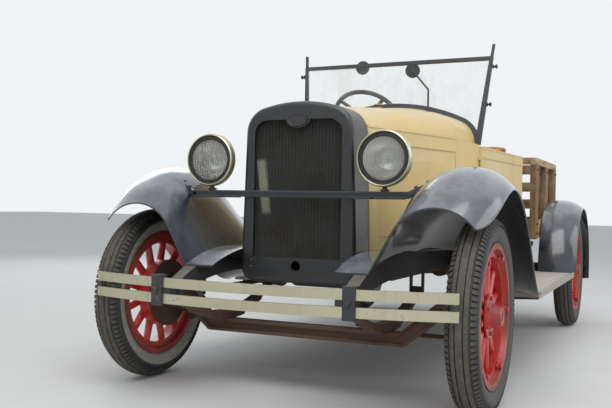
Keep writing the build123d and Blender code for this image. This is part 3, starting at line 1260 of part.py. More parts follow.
# Doors, with the hinge barrels they turn on
leaf_end = DOOR_FRONT + HINGE_LEAF
band_start = DOOR_FRONT + 2 * HINGE_RADIUS
door_panels = ((0, DOOR_BOTTOM, BELT, DOOR_FRONT),) + tuple((*band, band_start) for band in body_bands)
with BuildPart() as door:
    for rise, low_z, high_z, start in door_panels:
        with BuildSketch(Plane.XY.offset(low_z)):
            Polygon(
                (cab_half_width(start) + rise, aft(start)), (cab_half_width(DOOR_REAR) + rise, aft(DOOR_REAR)),
                (cab_half_width(DOOR_REAR) - WALL, aft(DOOR_REAR)), (cab_half_width(start) - WALL, aft(start)),
                align=None,
            )
        extrude(amount=high_z - low_z)
    for middle_z in HINGE_HEIGHTS:
        with BuildSketch(Plane.XY.offset(middle_z - HINGE_BARREL / 2)):
            with Locations((barrel_x, barrel_y)):
                Circle(HINGE_RADIUS)
            Polygon(
                (barrel_x, barrel_y + HINGE_RADIUS), (barrel_x - HINGE_RADIUS / 2, barrel_y),
                (cab_half_width(DOOR_FRONT + HINGE_RADIUS) - 1, aft(DOOR_FRONT + HINGE_RADIUS)),
                (cab_half_width(leaf_end) - 1, aft(leaf_end)),
                (cab_half_width(leaf_end) + HINGE_LEAF_THICKNESS, aft(leaf_end)),
                align=None,
            )
        extrude(amount=HINGE_BARREL)
save_pair(door, "door")

# Dashboard under the cowl's rear edge
with BuildPart() as dashboard:
    with BuildSketch(station(DASH_FRONT)):
        with Locations((0, COWL_REAR_TOP)):
            Rectangle(3 * COWL_REAR_HALF_WIDTH, 2 * (COWL_REAR_TOP - DASH_BOTTOM))
    extrude(amount=-DASH_THICKNESS)
    for place in (COWL_FRONT, COWL_TOP_REAR):
        with BuildSketch(station(place)):
            with BuildLine():
                dome_section(place, DASH_BOTTOM, COWL_WALL + SLIP)
            make_face()
    loft(mode=Mode.INTERSECT)
save(dashboard, "dashboard")

# Windscreen: raked posts with prongs, a top rail and a lower member that follows the dome
screen_rise = math.hypot(POST_CORNER[1] - POST_FOOT[1], POST_CORNER[2] - POST_FOOT[2])
screen_rake = math.atan2(POST_CORNER[1] - POST_FOOT[1], POST_CORNER[2] - POST_FOOT[2])
screen_plane = Plane(
    origin=(0, aft(POST_FOOT[1]), POST_FOOT[2]), x_dir=(1, 0, 0),
    z_dir=(0, -math.cos(screen_rake), math.sin(screen_rake)),
)
tip_rise = (POST_TIP[2] - POST_FOOT[2]) / math.cos(screen_rake)
post_half = POST_WIDTH / 2
with BuildPart() as screen_opening:
    with BuildSketch(screen_plane):
        Polygon(
            (POST_FOOT[0] - post_half, 0), (POST_CORNER[0] - RAIL_RADIUS, screen_rise - RAIL_RADIUS),
            (RAIL_RADIUS - POST_CORNER[0], screen_rise - RAIL_RADIUS), (post_half - POST_FOOT[0], 0),
            align=None,
        )
    extrude(amount=POST_DEPTH, both=True)
    for place in (COWL_FRONT, COWL_TOP_REAR + WALL):
        with BuildSketch(station(place)):
            with BuildLine():
                dome_section(place, DASH_BOTTOM, -2 * SLIP - LOWER_MEMBER)
            make_face()
    loft(mode=Mode.SUBTRACT)
with BuildPart() as screen:
    with BuildSketch(screen_plane):
        Polygon(
            (POST_FOOT[0] + post_half, 0), (POST_CORNER[0] + RAIL_RADIUS, screen_rise),
            (POST_CORNER[0] + RAIL_RADIUS, screen_rise + RAIL_RADIUS),
            (-POST_CORNER[0] - RAIL_RADIUS, screen_rise + RAIL_RADIUS), (-POST_CORNER[0] - RAIL_RADIUS, screen_rise),
            (-POST_FOOT[0] - post_half, 0),
            align=None,
        )
        for side in (-1, 1):
            Polygon(
                (side * (POST_CORNER[0] - PRONG_WIDTH / 2), screen_rise - RAIL_RADIUS),
                (side * (POST_CORNER[0] + PRONG_WIDTH / 2), screen_rise - RAIL_RADIUS),
                (side * (POST_TIP[0] + PRONG_WIDTH / 2), tip_rise),
                (side * (POST_TIP[0] - PRONG_WIDTH / 2), tip_rise),
                align=None,
            )
    extrude(amount=POST_DEPTH / 2, both=True)
    for place in (COWL_FRONT, COWL_TOP_REAR + WALL):
        with BuildSketch(station(place)):
            with BuildLine():
                dome_section(place, DASH_BOTTOM, -2 * SLIP)
            make_face()
    loft(mode=Mode.SUBTRACT)
    add(screen_opening.part, mode=Mode.SUBTRACT)
save(screen, "windscreen_frame")
with BuildPart() as glass:
    with BuildSketch(screen_plane):
        Polygon(
            (POST_FOOT[0] - post_half - SLIP, 0), (POST_CORNER[0] - RAIL_RADIUS - SLIP, screen_rise - RAIL_RADIUS - SLIP),
            (SLIP + RAIL_RADIUS - POST_CORNER[0], screen_rise - RAIL_RADIUS - SLIP), (post_half + SLIP - POST_FOOT[0], 0),
            align=None,
        )
    extrude(amount=GLASS_THICKNESS / 2, both=True)
    for place in (COWL_FRONT, COWL_TOP_REAR + WALL):
        with BuildSketch(station(place)):
            with BuildLine():
                dome_section(place, DASH_BOTTOM, -3 * SLIP - LOWER_MEMBER)
            make_face()
    loft(mode=Mode.SUBTRACT)
save(glass, "windscreen_glass")

# Mirrors: one hung behind the top rail, one on a bent stalk that stands on the dome
stalk_foot = (STALK_X, aft(STALK_FOOT_Y), STALK_FOOT_Z)
head_y = aft(STALK_HEAD[1])
with BuildPart() as mirrors:
    hung_plane = screen_plane.offset(-POST_DEPTH / 2 - MIRROR_STANDOFF)
    with BuildSketch(hung_plane):
        with Locations((MIRROR_X, screen_rise)):
            Circle(MIRROR_RADIUS)
    extrude(amount=-MIRROR_THICKNESS)
    with BuildSketch(hung_plane):
        with Locations((MIRROR_X, screen_rise)):
            Circle(RAIL_RADIUS)
    extrude(amount=MIRROR_STANDOFF - SLIP)
    with BuildLine():
        Polyline(stalk_foot, (STALK_X, aft(STALK_FOOT_Y), STALK_HEAD[2] - STALK_BEND),
                 (STALK_HEAD[0], head_y, STALK_HEAD[2]))
    with BuildSketch(Plane(origin=stalk_foot, z_dir=(0, 0, 1))):
        Circle(STALK_RADIUS)
    sweep(transition=Transition.ROUND)
    with Locations(Plane(origin=stalk_foot, z_dir=(0, 0, 1))):
        Cylinder(STALK_FOOT_RADIUS, STALK_RADIUS)
    for place in (COWL_FRONT, COWL_TOP_REAR + WALL):
        with BuildSketch(station(place)):
            with BuildLine():
                dome_section(place, DASH_BOTTOM, -2 * SLIP)
            make_face()
    loft(mode=Mode.SUBTRACT)
    with BuildSketch(Plane(origin=(STALK_HEAD[0], head_y, STALK_HEAD[2]), x_dir=(1, 0, 0), z_dir=(0, 1, 0))):
        Circle(MIRROR_RADIUS)
    extrude(amount=MIRROR_THICKNESS)
save(mirrors, "mirrors")

# Seat: a cushion on its base and a back that leans on the cab's rear wall
cushion_bottom = SEAT_BASE_TOP + SLIP
back_bottom = SEAT_CUSHION_TOP + SLIP
with BuildPart() as seat_cushion:
    with BuildSketch(Plane.XY.offset(cushion_bottom)):
        with Locations((0, aft((SEAT_FRONT + SEAT_REAR) / 2))):
            RectangleRounded(2 * seat_half_width, SEAT_REAR - SEAT_FRONT, SEAT_CORNER)
    extrude(amount=SEAT_CUSHION_TOP - cushion_bottom)
    fillet(faces().sort_by(Axis.Z)[-1].edges(), SEAT_ROUND)
save(seat_cushion, "seat_cushion")
back_foot_rear = SEAT_REAR
back_top_rear = back_foot_rear + SEAT_BACK_LEAN
with BuildPart() as seat_back:
    with BuildSketch(side_plane(-seat_half_width)):
        Polygon(
            (aft(back_foot_rear - SEAT_BACK_THICKNESS), back_bottom), (aft(back_foot_rear), back_bottom),
            (aft(back_top_rear), SEAT_BACK_TOP), (aft(back_top_rear - SEAT_BACK_THICKNESS), SEAT_BACK_TOP),
            align=None,
        )
    extrude(amount=2 * seat_half_width)
    with BuildSketch(station(SEAT_FRONT)):
        with BuildLine():
            Line((-seat_half_width - 5, 0), (seat_half_width + 5, 0))
            Line((seat_half_width + 5, 0), (seat_half_width + 5, SEAT_BACK_TOP - SEAT_BACK_END_DROP))
            ThreePointArc((seat_half_width + 5, SEAT_BACK_TOP - SEAT_BACK_END_DROP), (0, SEAT_BACK_TOP),
                          (-seat_half_width - 5, SEAT_BACK_TOP - SEAT_BACK_END_DROP))
            Line((-seat_half_width - 5, SEAT_BACK_TOP - SEAT_BACK_END_DROP), (-seat_half_width - 5, 0))
        make_face()
    extrude(amount=-CAB_REAR, mode=Mode.INTERSECT)
save(seat_back, "seat_back")

# Front fenders: a lofted arch over each wheel, an apron over the horn and the sill under the bonnet
foot_x = RAIL_OUTER_X + SLIP
sill_foot_z = HOOD_BOTTOM - SILL_SHEET / 2
horn_radius = ((HORN_REACH + HORN_START) ** 2 + (FRAME_TOP - HORN_TIP_TOP) ** 2) / (2 * (FRAME_TOP - HORN_TIP_TOP))
horn_centre_z = FRAME_TOP - horn_radius


def horn_top_z(distance, radius):
    """Height of an arc of this radius about the horn's own centre."""
    return horn_centre_z + math.sqrt(radius ** 2 - (distance - HORN_START) ** 2)


apron_foot_z = horn_top_z(FENDER_FRONT, horn_radius + SLIP + SILL_SHEET / 2)
fender_outer = RUNNING_BOARD_OUTER + FRONT_FENDER_OVERHANG
front_fender_rows = (
    # behind the front axle, then foot, shoulder, crown and lip as x and z
    (FENDER_FRONT, (foot_x, apron_foot_z), (480, 690), (600, 785), (fender_outer - 66, 722)),
    (-160.0, (foot_x, 581), (500, 800), (650, 893), (fender_outer - 11, 790)),
    (30.0, (foot_x, sill_foot_z), (530, 880), (690, 953), (fender_outer, 868)),
    (300.0, (foot_x, sill_foot_z), (545, 800), (700, 878), (fender_outer, 790)),
    (560.0, (480, sill_foot_z), (560, 598), (700, 606), (fender_outer, 528)),
    (740.0, (545, sill_foot_z), (585, 440), (715, 444), (fender_outer - 4, 398)),
    (RUNNING_BOARD_FRONT - SLIP, (APRON_TOP_X, sill_foot_z), (APRON_FOOT_X, RUNNING_BOARD_TOP - 2),
     (720, RUNNING_BOARD_TOP - 0.5), (RUNNING_BOARD_OUTER, RUNNING_BOARD_TOP - 4)),
)
with BuildPart() as front_fender:
    for place, foot, shoulder, crown, lip in front_fender_rows:
        with BuildSketch(station(place)):
            with BuildLine():
                draw_fender(foot, shoulder, crown, lip)
            make_face()
    loft()
    sill_front = SHELL_REAR + PANEL_GAP / 2
    sill_points = [(foot[0] + SILL_BITE, aft(place)) for place, foot, *_ in reversed(front_fender_rows[3:5])]
    with BuildSketch(Plane.XY.offset(FRAME_TOP + SLIP)):
        Polygon(
            (SHELL_HALF_WIDTH - SILL_TUCK, aft(sill_front)), (HOOD_REAR_FOOT - SILL_TUCK, aft(HOOD_REAR)),
            (APRON_TOP_X + SILL_BITE, aft(HOOD_REAR)), *sill_points, (foot_x + SILL_BITE, aft(sill_front)),
            align=None,
        )
    extrude(amount=SILL_SHEET)
    with BuildSketch(side_plane(SHELL_HALF_WIDTH + RUNNING_GAP)):
        low, high = horn_radius + SLIP, horn_radius + SLIP + SILL_SHEET
        middle = (FENDER_FRONT + HORN_START) / 2
        with BuildLine():
            for radius, ends in ((low, (FENDER_FRONT, HORN_START)), (high, (FENDER_FRONT, HORN_START))):
                ThreePointArc(
                    (aft(ends[0]), horn_top_z(ends[0], radius)), (aft(middle), horn_top_z(middle, radius)),
                    (aft(ends[1]), horn_top_z(ends[1], radius)),
                )
            Line((aft(FENDER_FRONT), horn_top_z(FENDER_FRONT, low)), (aft(FENDER_FRONT), horn_top_z(FENDER_FRONT, high)))
            Polyline(
                (aft(HORN_START), horn_top_z(HORN_START, low)), (aft(sill_front + 2), FRAME_TOP + SLIP),
                (aft(sill_front + 2), FRAME_TOP + SLIP + SILL_SHEET), (aft(HORN_START), horn_top_z(HORN_START, high)),
            )
        make_face()
    extrude(amount=foot_x + 2 - SHELL_HALF_WIDTH - RUNNING_GAP)
    with BuildSketch(Plane.XY.offset(FRAME_TOP - SILL_SHEET)):
        with BuildLine():
            Polyline(
                (APRON_TOP_X + SILL_BITE - APRON_TUCK, aft(HOOD_REAR - 20)), (APRON_TOP_X + SILL_BITE, aft(HOOD_REAR - 20)),
                (APRON_TOP_X + SILL_BITE, aft(RUNNING_BOARD_FRONT - SLIP)),
                (APRON_TOP_X + SILL_BITE - APRON_TUCK, aft(RUNNING_BOARD_FRONT - SLIP)),
                close=True,
            )
        make_face()
    extrude(amount=SILL_SHEET)
save_both(front_fender, "front_fenders")

# Running boards with the splash aprons that tuck under the cab floor
board_bottom = RUNNING_BOARD_TOP - RUNNING_BOARD_THICKNESS
with BuildPart() as running_board:
    with BuildSketch(station(RUNNING_BOARD_FRONT)):
        with BuildLine():
            Polyline(
                (APRON_FOOT_X, board_bottom), (RUNNING_BOARD_OUTER, board_bottom),
                (RUNNING_BOARD_OUTER, RUNNING_BOARD_TOP + BOARD_EDGE_RISE),
                (RUNNING_BOARD_OUTER - BOARD_EDGE_WIDTH, RUNNING_BOARD_TOP + BOARD_EDGE_RISE),
                (RUNNING_BOARD_OUTER - BOARD_EDGE_WIDTH, RUNNING_BOARD_TOP), (APRON_FOOT_X + 2, RUNNING_BOARD_TOP),
                (APRON_TOP_X + 5, FRAME_TOP), (APRON_TOP_X - APRON_TUCK, FRAME_TOP),
                (APRON_TOP_X - APRON_TUCK, FRAME_TOP - SILL_SHEET), (APRON_TOP_X, FRAME_TOP - SILL_SHEET),
                (APRON_FOOT_X - 4, RUNNING_BOARD_TOP), (APRON_FOOT_X - 4, board_bottom),
                close=True,
            )
        make_face()
    extrude(amount=-(RUNNING_BOARD_REAR - RUNNING_BOARD_FRONT))
save_both(running_board, "running_boards")

# Rear fenders: a crowned strip turned about the rear axle, from the running board to the tail
fender_inner = BED_HALF_WIDTH + SLIP
foot_angle = math.asin((RUNNING_BOARD_TOP + SLIP - AXLE_Z) / (REAR_FENDER_LIP_RADIUS - FENDER_SHEET))
strip_points = (
    (fender_inner, REAR_FENDER_INNER_RADIUS), (REAR_FENDER_CROWN_X, REAR_FENDER_RADIUS),
    (REAR_FENDER_OUTER, REAR_FENDER_LIP_RADIUS),
)
(strip_x, strip_y), strip_radius = circle_through(*strip_points)
strip_scale = (strip_radius - FENDER_SHEET) / strip_radius
under_points = [(strip_x + (x - strip_x) * strip_scale, strip_y + (y - strip_y) * strip_scale) for x, y in strip_points]
with BuildPart() as rear_fender:
    with BuildSketch(Plane(
        origin=(0, REAR_AXLE_Y, AXLE_Z), x_dir=(1, 0, 0), z_dir=(0, -math.sin(foot_angle), -math.cos(foot_angle)),
    )):
        with BuildLine():
            ThreePointArc(*strip_points)
            draw_bead(strip_points[2], under_points[2])
            ThreePointArc(*under_points)
            Line(under_points[0], strip_points[0])
        make_face()
        split(bisect_by=Plane.YZ.offset(fender_inner), keep=Keep.TOP)
    revolve(
        axis=Axis((0, REAR_AXLE_Y, AXLE_Z), (-1, 0, 0)),
        revolution_arc=180 - math.degrees(foot_angle) + REAR_FENDER_TAIL_ANGLE,
    )
save_both(rear_fender, "rear_fenders")

# Lamp bar between the fenders
with BuildPart() as lamp_bar:
    with BuildLine():
        Polyline(
            (-LAMP_BAR_END[0], aft(LAMP_BAR_END[1]), LAMP_BAR_END[2]), (-LAMP_BAR_X, aft(LAMP_BAR_Y), LAMP_BAR_Z),
            (LAMP_BAR_X, aft(LAMP_BAR_Y), LAMP_BAR_Z), (LAMP_BAR_END[0], aft(LAMP_BAR_END[1]), LAMP_BAR_END[2]),
        )
    with BuildSketch(Plane(
        origin=(-LAMP_BAR_END[0], aft(LAMP_BAR_END[1]), LAMP_BAR_END[2]),
        z_dir=(LAMP_BAR_END[0] - LAMP_BAR_X, LAMP_BAR_Y - LAMP_BAR_END[1], LAMP_BAR_Z - LAMP_BAR_END[2]),
    )):
        Circle(LAMP_BAR_RADIUS)
    sweep(transition=Transition.ROUND)
    with Locations((0, 0, SLIP)):
        add(front_fender.part, mode=Mode.SUBTRACT)
        add(front_fender.part.mirror(Plane.YZ), mode=Mode.SUBTRACT)
with BuildPart() as lamp_bar_body:
    add(lamp_bar.part.solids().sort_by(SortBy.VOLUME)[-1])
save(lamp_bar_body, "lamp_bar")

# Headlamps: hollow bowls with a broad rim, each on a stud that stands on the bar
lamp_back = LAMP_FACE + LAMP_DEPTH
stud_bottom = LAMP_BAR_Z + LAMP_BAR_RADIUS + SLIP
with BuildPart() as headlamp:
    with BuildSketch(Plane(origin=(LAMP_X, 0, LAMP_Z), x_dir=(1, 0, 0), z_dir=(0, 0, 1))):
        with BuildLine():
            Line((0, aft(lamp_back)), (0, aft(lamp_back - LAMP_WALL)))
            ThreePointArc((0, aft(lamp_back - LAMP_WALL)), (LAMP_LENS_RADIUS * 0.78, aft(LAMP_FACE + LAMP_DEPTH * 0.55)),
                          (LAMP_LENS_RADIUS, aft(LAMP_FACE + LAMP_RIM_DEPTH)))
            Line((LAMP_LENS_RADIUS, aft(LAMP_FACE + LAMP_RIM_DEPTH)), (LAMP_LENS_RADIUS, aft(LAMP_FACE)))
            ThreePointArc((LAMP_LENS_RADIUS, aft(LAMP_FACE)), (LAMP_RIM_RADIUS - 8, aft(LAMP_FACE + 4)),
                          (LAMP_RIM_RADIUS, aft(LAMP_FACE + LAMP_RIM_DEPTH)))
            Line((LAMP_RIM_RADIUS, aft(LAMP_FACE + LAMP_RIM_DEPTH)), (LAMP_RIM_RADIUS - 8, aft(LAMP_FACE + LAMP_RIM_DEPTH)))
            ThreePointArc((LAMP_RIM_RADIUS - 8, aft(LAMP_FACE + LAMP_RIM_DEPTH)),
                          (LAMP_RIM_RADIUS * 0.78, aft(LAMP_FACE + LAMP_DEPTH * 0.68)), (0, aft(lamp_back)))
        make_face()
    revolve(axis=Axis((LAMP_X, aft(0), LAMP_Z), (0, 1, 0)))
    with BuildSketch(Plane.XY.offset(stud_bottom)):
        with Locations((LAMP_X, aft(LAMP_BAR_Y))):
            Circle(LAMP_STUD_RADIUS)
    extrude(amount=LAMP_Z - LAMP_LENS_RADIUS - 8 - stud_bottom)
save_both(headlamp, "headlamps")
with BuildPart() as lens:
    with BuildSketch(station(LAMP_FACE + LENS_THICKNESS)):
        with Locations((LAMP_X, LAMP_Z)):
            Circle(LAMP_LENS_RADIUS - SLIP)
    extrude(amount=LENS_THICKNESS)
    flute_pitch = 2 * LAMP_LENS_RADIUS / (LENS_FLUTES + 1)
    with BuildSketch(station(LAMP_FACE)):
        for index in range(LENS_FLUTES):
            with Locations((LAMP_X + (index - (LENS_FLUTES - 1) / 2) * flute_pitch, LAMP_Z)):
                Rectangle(flute_pitch / 2, 2 * LAMP_LENS_RADIUS)
    extrude(amount=-LENS_FLUTE_DEPTH, mode=Mode.SUBTRACT)
save_both(lens, "headlamp_lenses")

# Bumper: two swept flat bars linked at their ends, clamped together and carried from the horns
bumper_radius = (BUMPER_HALF_WIDTH ** 2 + BUMPER_SWEEP ** 2) / (2 * BUMPER_SWEEP)
bumper_centre_y = aft(-FRONT_REACH) + bumper_radius


def draw_bumper(outer_radius, thickness, half_width):
    """Draw the plan of a bar that sweeps back about the bumper's centre."""
    inner_radius = outer_radius - thickness
    outer_end = bumper_centre_y - math.sqrt(outer_radius ** 2 - half_width ** 2)
    inner_end = bumper_centre_y - math.sqrt(inner_radius ** 2 - half_width ** 2)
    ThreePointArc((-half_width, outer_end), (0, bumper_centre_y - outer_radius), (half_width, outer_end))
    Line((half_width, outer_end), (half_width, inner_end))
    ThreePointArc((half_width, inner_end), (0, bumper_centre_y - inner_radius), (-half_width, inner_end))
    Line((-half_width, inner_end), (-half_width, outer_end))


with BuildPart() as bumper_bars:
    for middle_z, height in BUMPER_BARS:
        with BuildSketch(Plane.XY.offset(middle_z - height / 2)):
            with BuildLine():
                draw_bumper(bumper_radius, BUMPER_BAR_THICKNESS, BUMPER_HALF_WIDTH)
            make_face()
        extrude(amount=height)
    link_x = BUMPER_HALF_WIDTH - BUMPER_LINK_INSET
    link_y = bumper_centre_y - math.sqrt((bumper_radius - BUMPER_BAR_THICKNESS / 2) ** 2 - link_x ** 2)
    link_bottom = BUMPER_BARS[1][0] - BUMPER_BARS[1][1] / 2
    with BuildSketch(Plane.XY.offset(link_bottom)):
        with Locations((link_x, link_y), (-link_x, link_y)):
            Circle(BUMPER_LINK_RADIUS)
    extrude(amount=BUMPER_BARS[0][0] + BUMPER_BARS[0][1] / 2 - link_bottom)
save(bumper_bars, "bumper_bars")
clamp_front = -FRONT_REACH + bumper_radius - math.sqrt(bumper_radius ** 2 - CLAMP_X ** 2) - CLAMP_THICKNESS
bracket_rear = -HORN_REACH - SLIP
with BuildPart() as bumper_bracket:
    with BuildSketch(Plane.XY.offset(CLAMP_Z[0])):
        with Locations((CLAMP_X, aft(clamp_front))):
            Rectangle(CLAMP_WIDTH, 2 * CLAMP_THICKNESS + BUMPER_BAR_THICKNESS + 8, align=(Align.CENTER, Align.MIN))
    extrude(amount=CLAMP_Z[1] - CLAMP_Z[0])
    with BuildSketch(Plane.XY.offset(HORN_TIP_TOP - HORN_TIP_DEPTH)):
        with Locations(((rail_inner_x + CLAMP_X + CLAMP_WIDTH / 2) / 2, aft(bracket_rear))):
            Rectangle(CLAMP_X + CLAMP_WIDTH / 2 - rail_inner_x, bracket_rear - clamp_front - CLAMP_THICKNESS,
                      align=(Align.CENTER, Align.MAX))
    extrude(amount=HORN_TIP_DEPTH)
    for middle_z, height in BUMPER_BARS:
        with BuildSketch(Plane.XY.offset(middle_z - height / 2 - SLIP)):
            with BuildLine():
                draw_bumper(bumper_radius + SLIP, BUMPER_BAR_THICKNESS + 2 * SLIP, BUMPER_HALF_WIDTH)
            make_face()
        extrude(amount=height + 2 * SLIP, mode=Mode.SUBTRACT)
save_both(bumper_bracket, "bumper_brackets")

# Stake bed: boarded floor on bolsters, staked sides and a tail rack that drops back
bed_floor_top = BED_FLOOR_BOTTOM + BED_FLOOR_THICKNESS
bed_inner = BED_HALF_WIDTH - STAKE_THICKNESS
bed_length = BED_REAR - BED_FRONT
bed_middle = (BED_FRONT + BED_REAR) / 2
hinge_y = aft(BED_REAR + PANEL_GAP + TAIL_THICKNESS / 2)
barrel_half = TAIL_HINGE_WIDTH / 4
floor_front = BED_FRONT + SIDE_BOARD_THICKNESS + SLIP
with BuildPart() as bed_floor:
    with Locations((0, aft((floor_front + BED_REAR) / 2), BED_FLOOR_BOTTOM + BED_FLOOR_THICKNESS / 2)):
        Box(2 * (bed_inner - SLIP), BED_REAR - floor_front, BED_FLOOR_THICKNESS)
    for place in BOLSTERS:
        with Locations((0, aft(place), (FRAME_TOP + SLIP + BED_FLOOR_BOTTOM + 1) / 2)):
            Box(2 * (bed_inner - SLIP), BOLSTER_WIDTH, BED_FLOOR_BOTTOM + 1 - FRAME_TOP - SLIP)
    for side in (-1, 1):
        for ear in (-1, 1):
            ear_x = side * TAIL_HINGE_X + ear * (3 * barrel_half / 2 + SLIP)
            with BuildSketch(side_plane(ear_x)):
                with Locations((hinge_y, TAIL_HINGE_Z)):
                    Circle(TAIL_HINGE_RADIUS)
                with Locations(((hinge_y + aft(BED_REAR - 1)) / 2, TAIL_HINGE_Z)):
                    Rectangle(hinge_y - aft(BED_REAR - 1), 2 * TAIL_HINGE_RADIUS)
            extrude(amount=barrel_half / 2, both=True)
save(bed_floor, "bed_floor")
with BuildPart() as bed_rack:
    for side in (-1, 1):
        stake_x = side * (bed_inner + STAKE_THICKNESS / 2)
        for place in STAKES:
            with Locations((stake_x, aft(place), (FRAME_TOP + BED_TOP) / 2)):
                Box(STAKE_THICKNESS, STAKE_WIDTH, BED_TOP - FRAME_TOP)
        with Locations((stake_x, aft(bed_middle), SIDE_BOARD_BOTTOM + SIDE_BOARD_HEIGHT / 2)):
            Box(SIDE_BOARD_THICKNESS, bed_length, SIDE_BOARD_HEIGHT)
        with Locations((stake_x, aft(bed_middle), BED_TOP - TOP_RAIL_HEIGHT / 2)):
            Box(STAKE_THICKNESS, bed_length, TOP_RAIL_HEIGHT)
    for middle_z, height in (
        (BED_TOP - TOP_RAIL_HEIGHT / 2, TOP_RAIL_HEIGHT),
        (SIDE_BOARD_BOTTOM + SIDE_BOARD_HEIGHT / 2, SIDE_BOARD_HEIGHT),
    ):
        with Locations((0, aft(BED_FRONT + SIDE_BOARD_THICKNESS / 2), middle_z)):
            Box(2 * bed_inner + STAKE_THICKNESS, SIDE_BOARD_THICKNESS, height)
save(bed_rack, "bed_rack")
tail_y = aft(BED_REAR + PANEL_GAP)
with BuildPart() as tail_rack:
    slat_pitch = (BED_TOP - bed_floor_top - TAIL_SLAT_HEIGHT) / (TAIL_SLATS - 1)
    for index in range(TAIL_SLATS):
        with Locations((0, tail_y + TAIL_THICKNESS / 4, bed_floor_top + TAIL_SLAT_HEIGHT / 2 + index * slat_pitch)):
            Box(2 * TAIL_HALF_WIDTH, TAIL_THICKNESS / 2, TAIL_SLAT_HEIGHT)
    for x in (-TAIL_HALF_WIDTH + STAKE_WIDTH / 2, 0, TAIL_HALF_WIDTH - STAKE_WIDTH / 2):
        with Locations((x, tail_y + TAIL_THICKNESS * 3 / 4, (bed_floor_top + BED_TOP) / 2)):
            Box(STAKE_WIDTH, TAIL_THICKNESS / 2, BED_TOP - bed_floor_top)
    for side in (-1, 1):
        with BuildSketch(side_plane(side * TAIL_HINGE_X)):
            with Locations((hinge_y, TAIL_HINGE_Z)):
                Circle(TAIL_HINGE_RADIUS)
                Rectangle(TAIL_HINGE_RADIUS, bed_floor_top + 1 - TAIL_HINGE_Z, align=(Align.CENTER, Align.MIN))
        extrude(amount=barrel_half, both=True)
save(tail_rack, "tail_rack")
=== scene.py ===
"""Looks of a weathered open roadster utility of the late 1920s, dressed over its CAD frame."""

import json
import logging
import math
from contextlib import contextmanager
from dataclasses import dataclass
from enum import Enum
from typing import Any, Callable, Iterator, Optional, Sequence

import bmesh
import bpy
from mathutils import Matrix, Vector


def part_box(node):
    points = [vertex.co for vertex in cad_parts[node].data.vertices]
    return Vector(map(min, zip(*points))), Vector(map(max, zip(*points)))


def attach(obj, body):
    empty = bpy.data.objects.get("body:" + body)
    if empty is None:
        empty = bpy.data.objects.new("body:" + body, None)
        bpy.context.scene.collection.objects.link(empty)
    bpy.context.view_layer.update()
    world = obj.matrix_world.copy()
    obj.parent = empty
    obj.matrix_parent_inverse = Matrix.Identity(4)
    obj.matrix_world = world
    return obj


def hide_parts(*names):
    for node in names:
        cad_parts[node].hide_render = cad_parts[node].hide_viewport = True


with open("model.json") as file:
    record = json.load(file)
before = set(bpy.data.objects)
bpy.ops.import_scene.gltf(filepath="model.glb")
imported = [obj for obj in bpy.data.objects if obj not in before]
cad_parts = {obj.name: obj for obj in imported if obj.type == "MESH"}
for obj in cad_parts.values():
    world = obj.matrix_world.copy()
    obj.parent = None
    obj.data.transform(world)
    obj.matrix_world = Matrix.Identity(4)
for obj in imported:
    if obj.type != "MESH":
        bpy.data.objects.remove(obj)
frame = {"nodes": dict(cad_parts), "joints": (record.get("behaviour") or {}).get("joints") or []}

Colour = tuple[float, float, float]
Object = bpy.types.Object
Socket = bpy.types.NodeSocket
Test = Callable[[Vector, Vector], bool]

IMAGE_WIDTH = 612
SENSOR_WIDTH = 36.0
SMOOTH_ANGLE = math.radians(35)
WELD = 2e-5
SEAM = 1e-5
ROUND = 48
ACROSS = Vector((1, 0, 0))
FORWARD = Vector((0, -1, 0))
BACK = Vector((0, 1, 0))
UP = Vector((0, 0, 1))
LOG = logging.getLogger("roadster")


class Side(Enum):
    """The car's two sides, by the sign of X."""

    LEFT = 1
    RIGHT = -1


def joint_place(name: str) -> Vector:
    """Give the place of a joint at rest.

    Args:
        name: The joint's name in the frame.

    Returns:
        The joint's point in metres.
    """
    found = next(joint for joint in frame["joints"] if joint["name"] == name)
    return Vector(found["pos_m"])


FRONT_AXLE = joint_place("front_left_spin")
REAR_AXLE = joint_place("rear_left_spin")


def aft(distance: float) -> float:
    """Give the Y of a place this many metres behind the front axle."""
    return FRONT_AXLE.y + distance


LAMP_BAR_Y = aft(-0.108)


# Selecting and shaping


def only(obj: Object) -> None:
    """Make an object the only selected and active one."""
    bpy.ops.object.select_all(action="DESELECT")
    obj.select_set(True)
    bpy.context.view_layer.objects.active = obj


@contextmanager
def shaping(obj: Object) -> Iterator[None]:
    """Hold an object in edit mode, starting with nothing selected.

    Args:
        obj: The object to shape.
    """
    only(obj)
    bpy.ops.object.mode_set(mode="EDIT")
    bpy.ops.mesh.select_all(action="DESELECT")
    yield
    bpy.ops.object.mode_set(mode="OBJECT")


def choose(obj: Object, test: Test) -> None:
    """Select faces of an object in edit mode.

    Args:
        obj: The object in edit mode, with its transforms applied.
        test: Says from a face's middle and normal whether it is wanted.
    """
    bpy.ops.mesh.select_all(action="DESELECT")
    bpy.ops.mesh.select_mode(type="FACE")
    mesh = bmesh.from_edit_mesh(obj.data)
    for face in mesh.faces:
        if test(face.calc_center_median(), face.normal):
            face.select_set(True)
    mesh.select_flush_mode()
    bmesh.update_edit_mesh(obj.data)


def sector(up: float, across: float, parts: int) -> int:
    """Number the sector that a direction lies in, where equal parts make up a full turn."""
    return math.floor(math.atan2(up, across) / math.tau * parts)


def set_down(obj: Object) -> Object:
    """Apply an object's place, turn and scale to its mesh.

    Args:
        obj: The object to settle.

    Returns:
        The same object.
    """
    only(obj)
    bpy.ops.object.transform_apply(location=True, rotation=True, scale=True)
    return obj


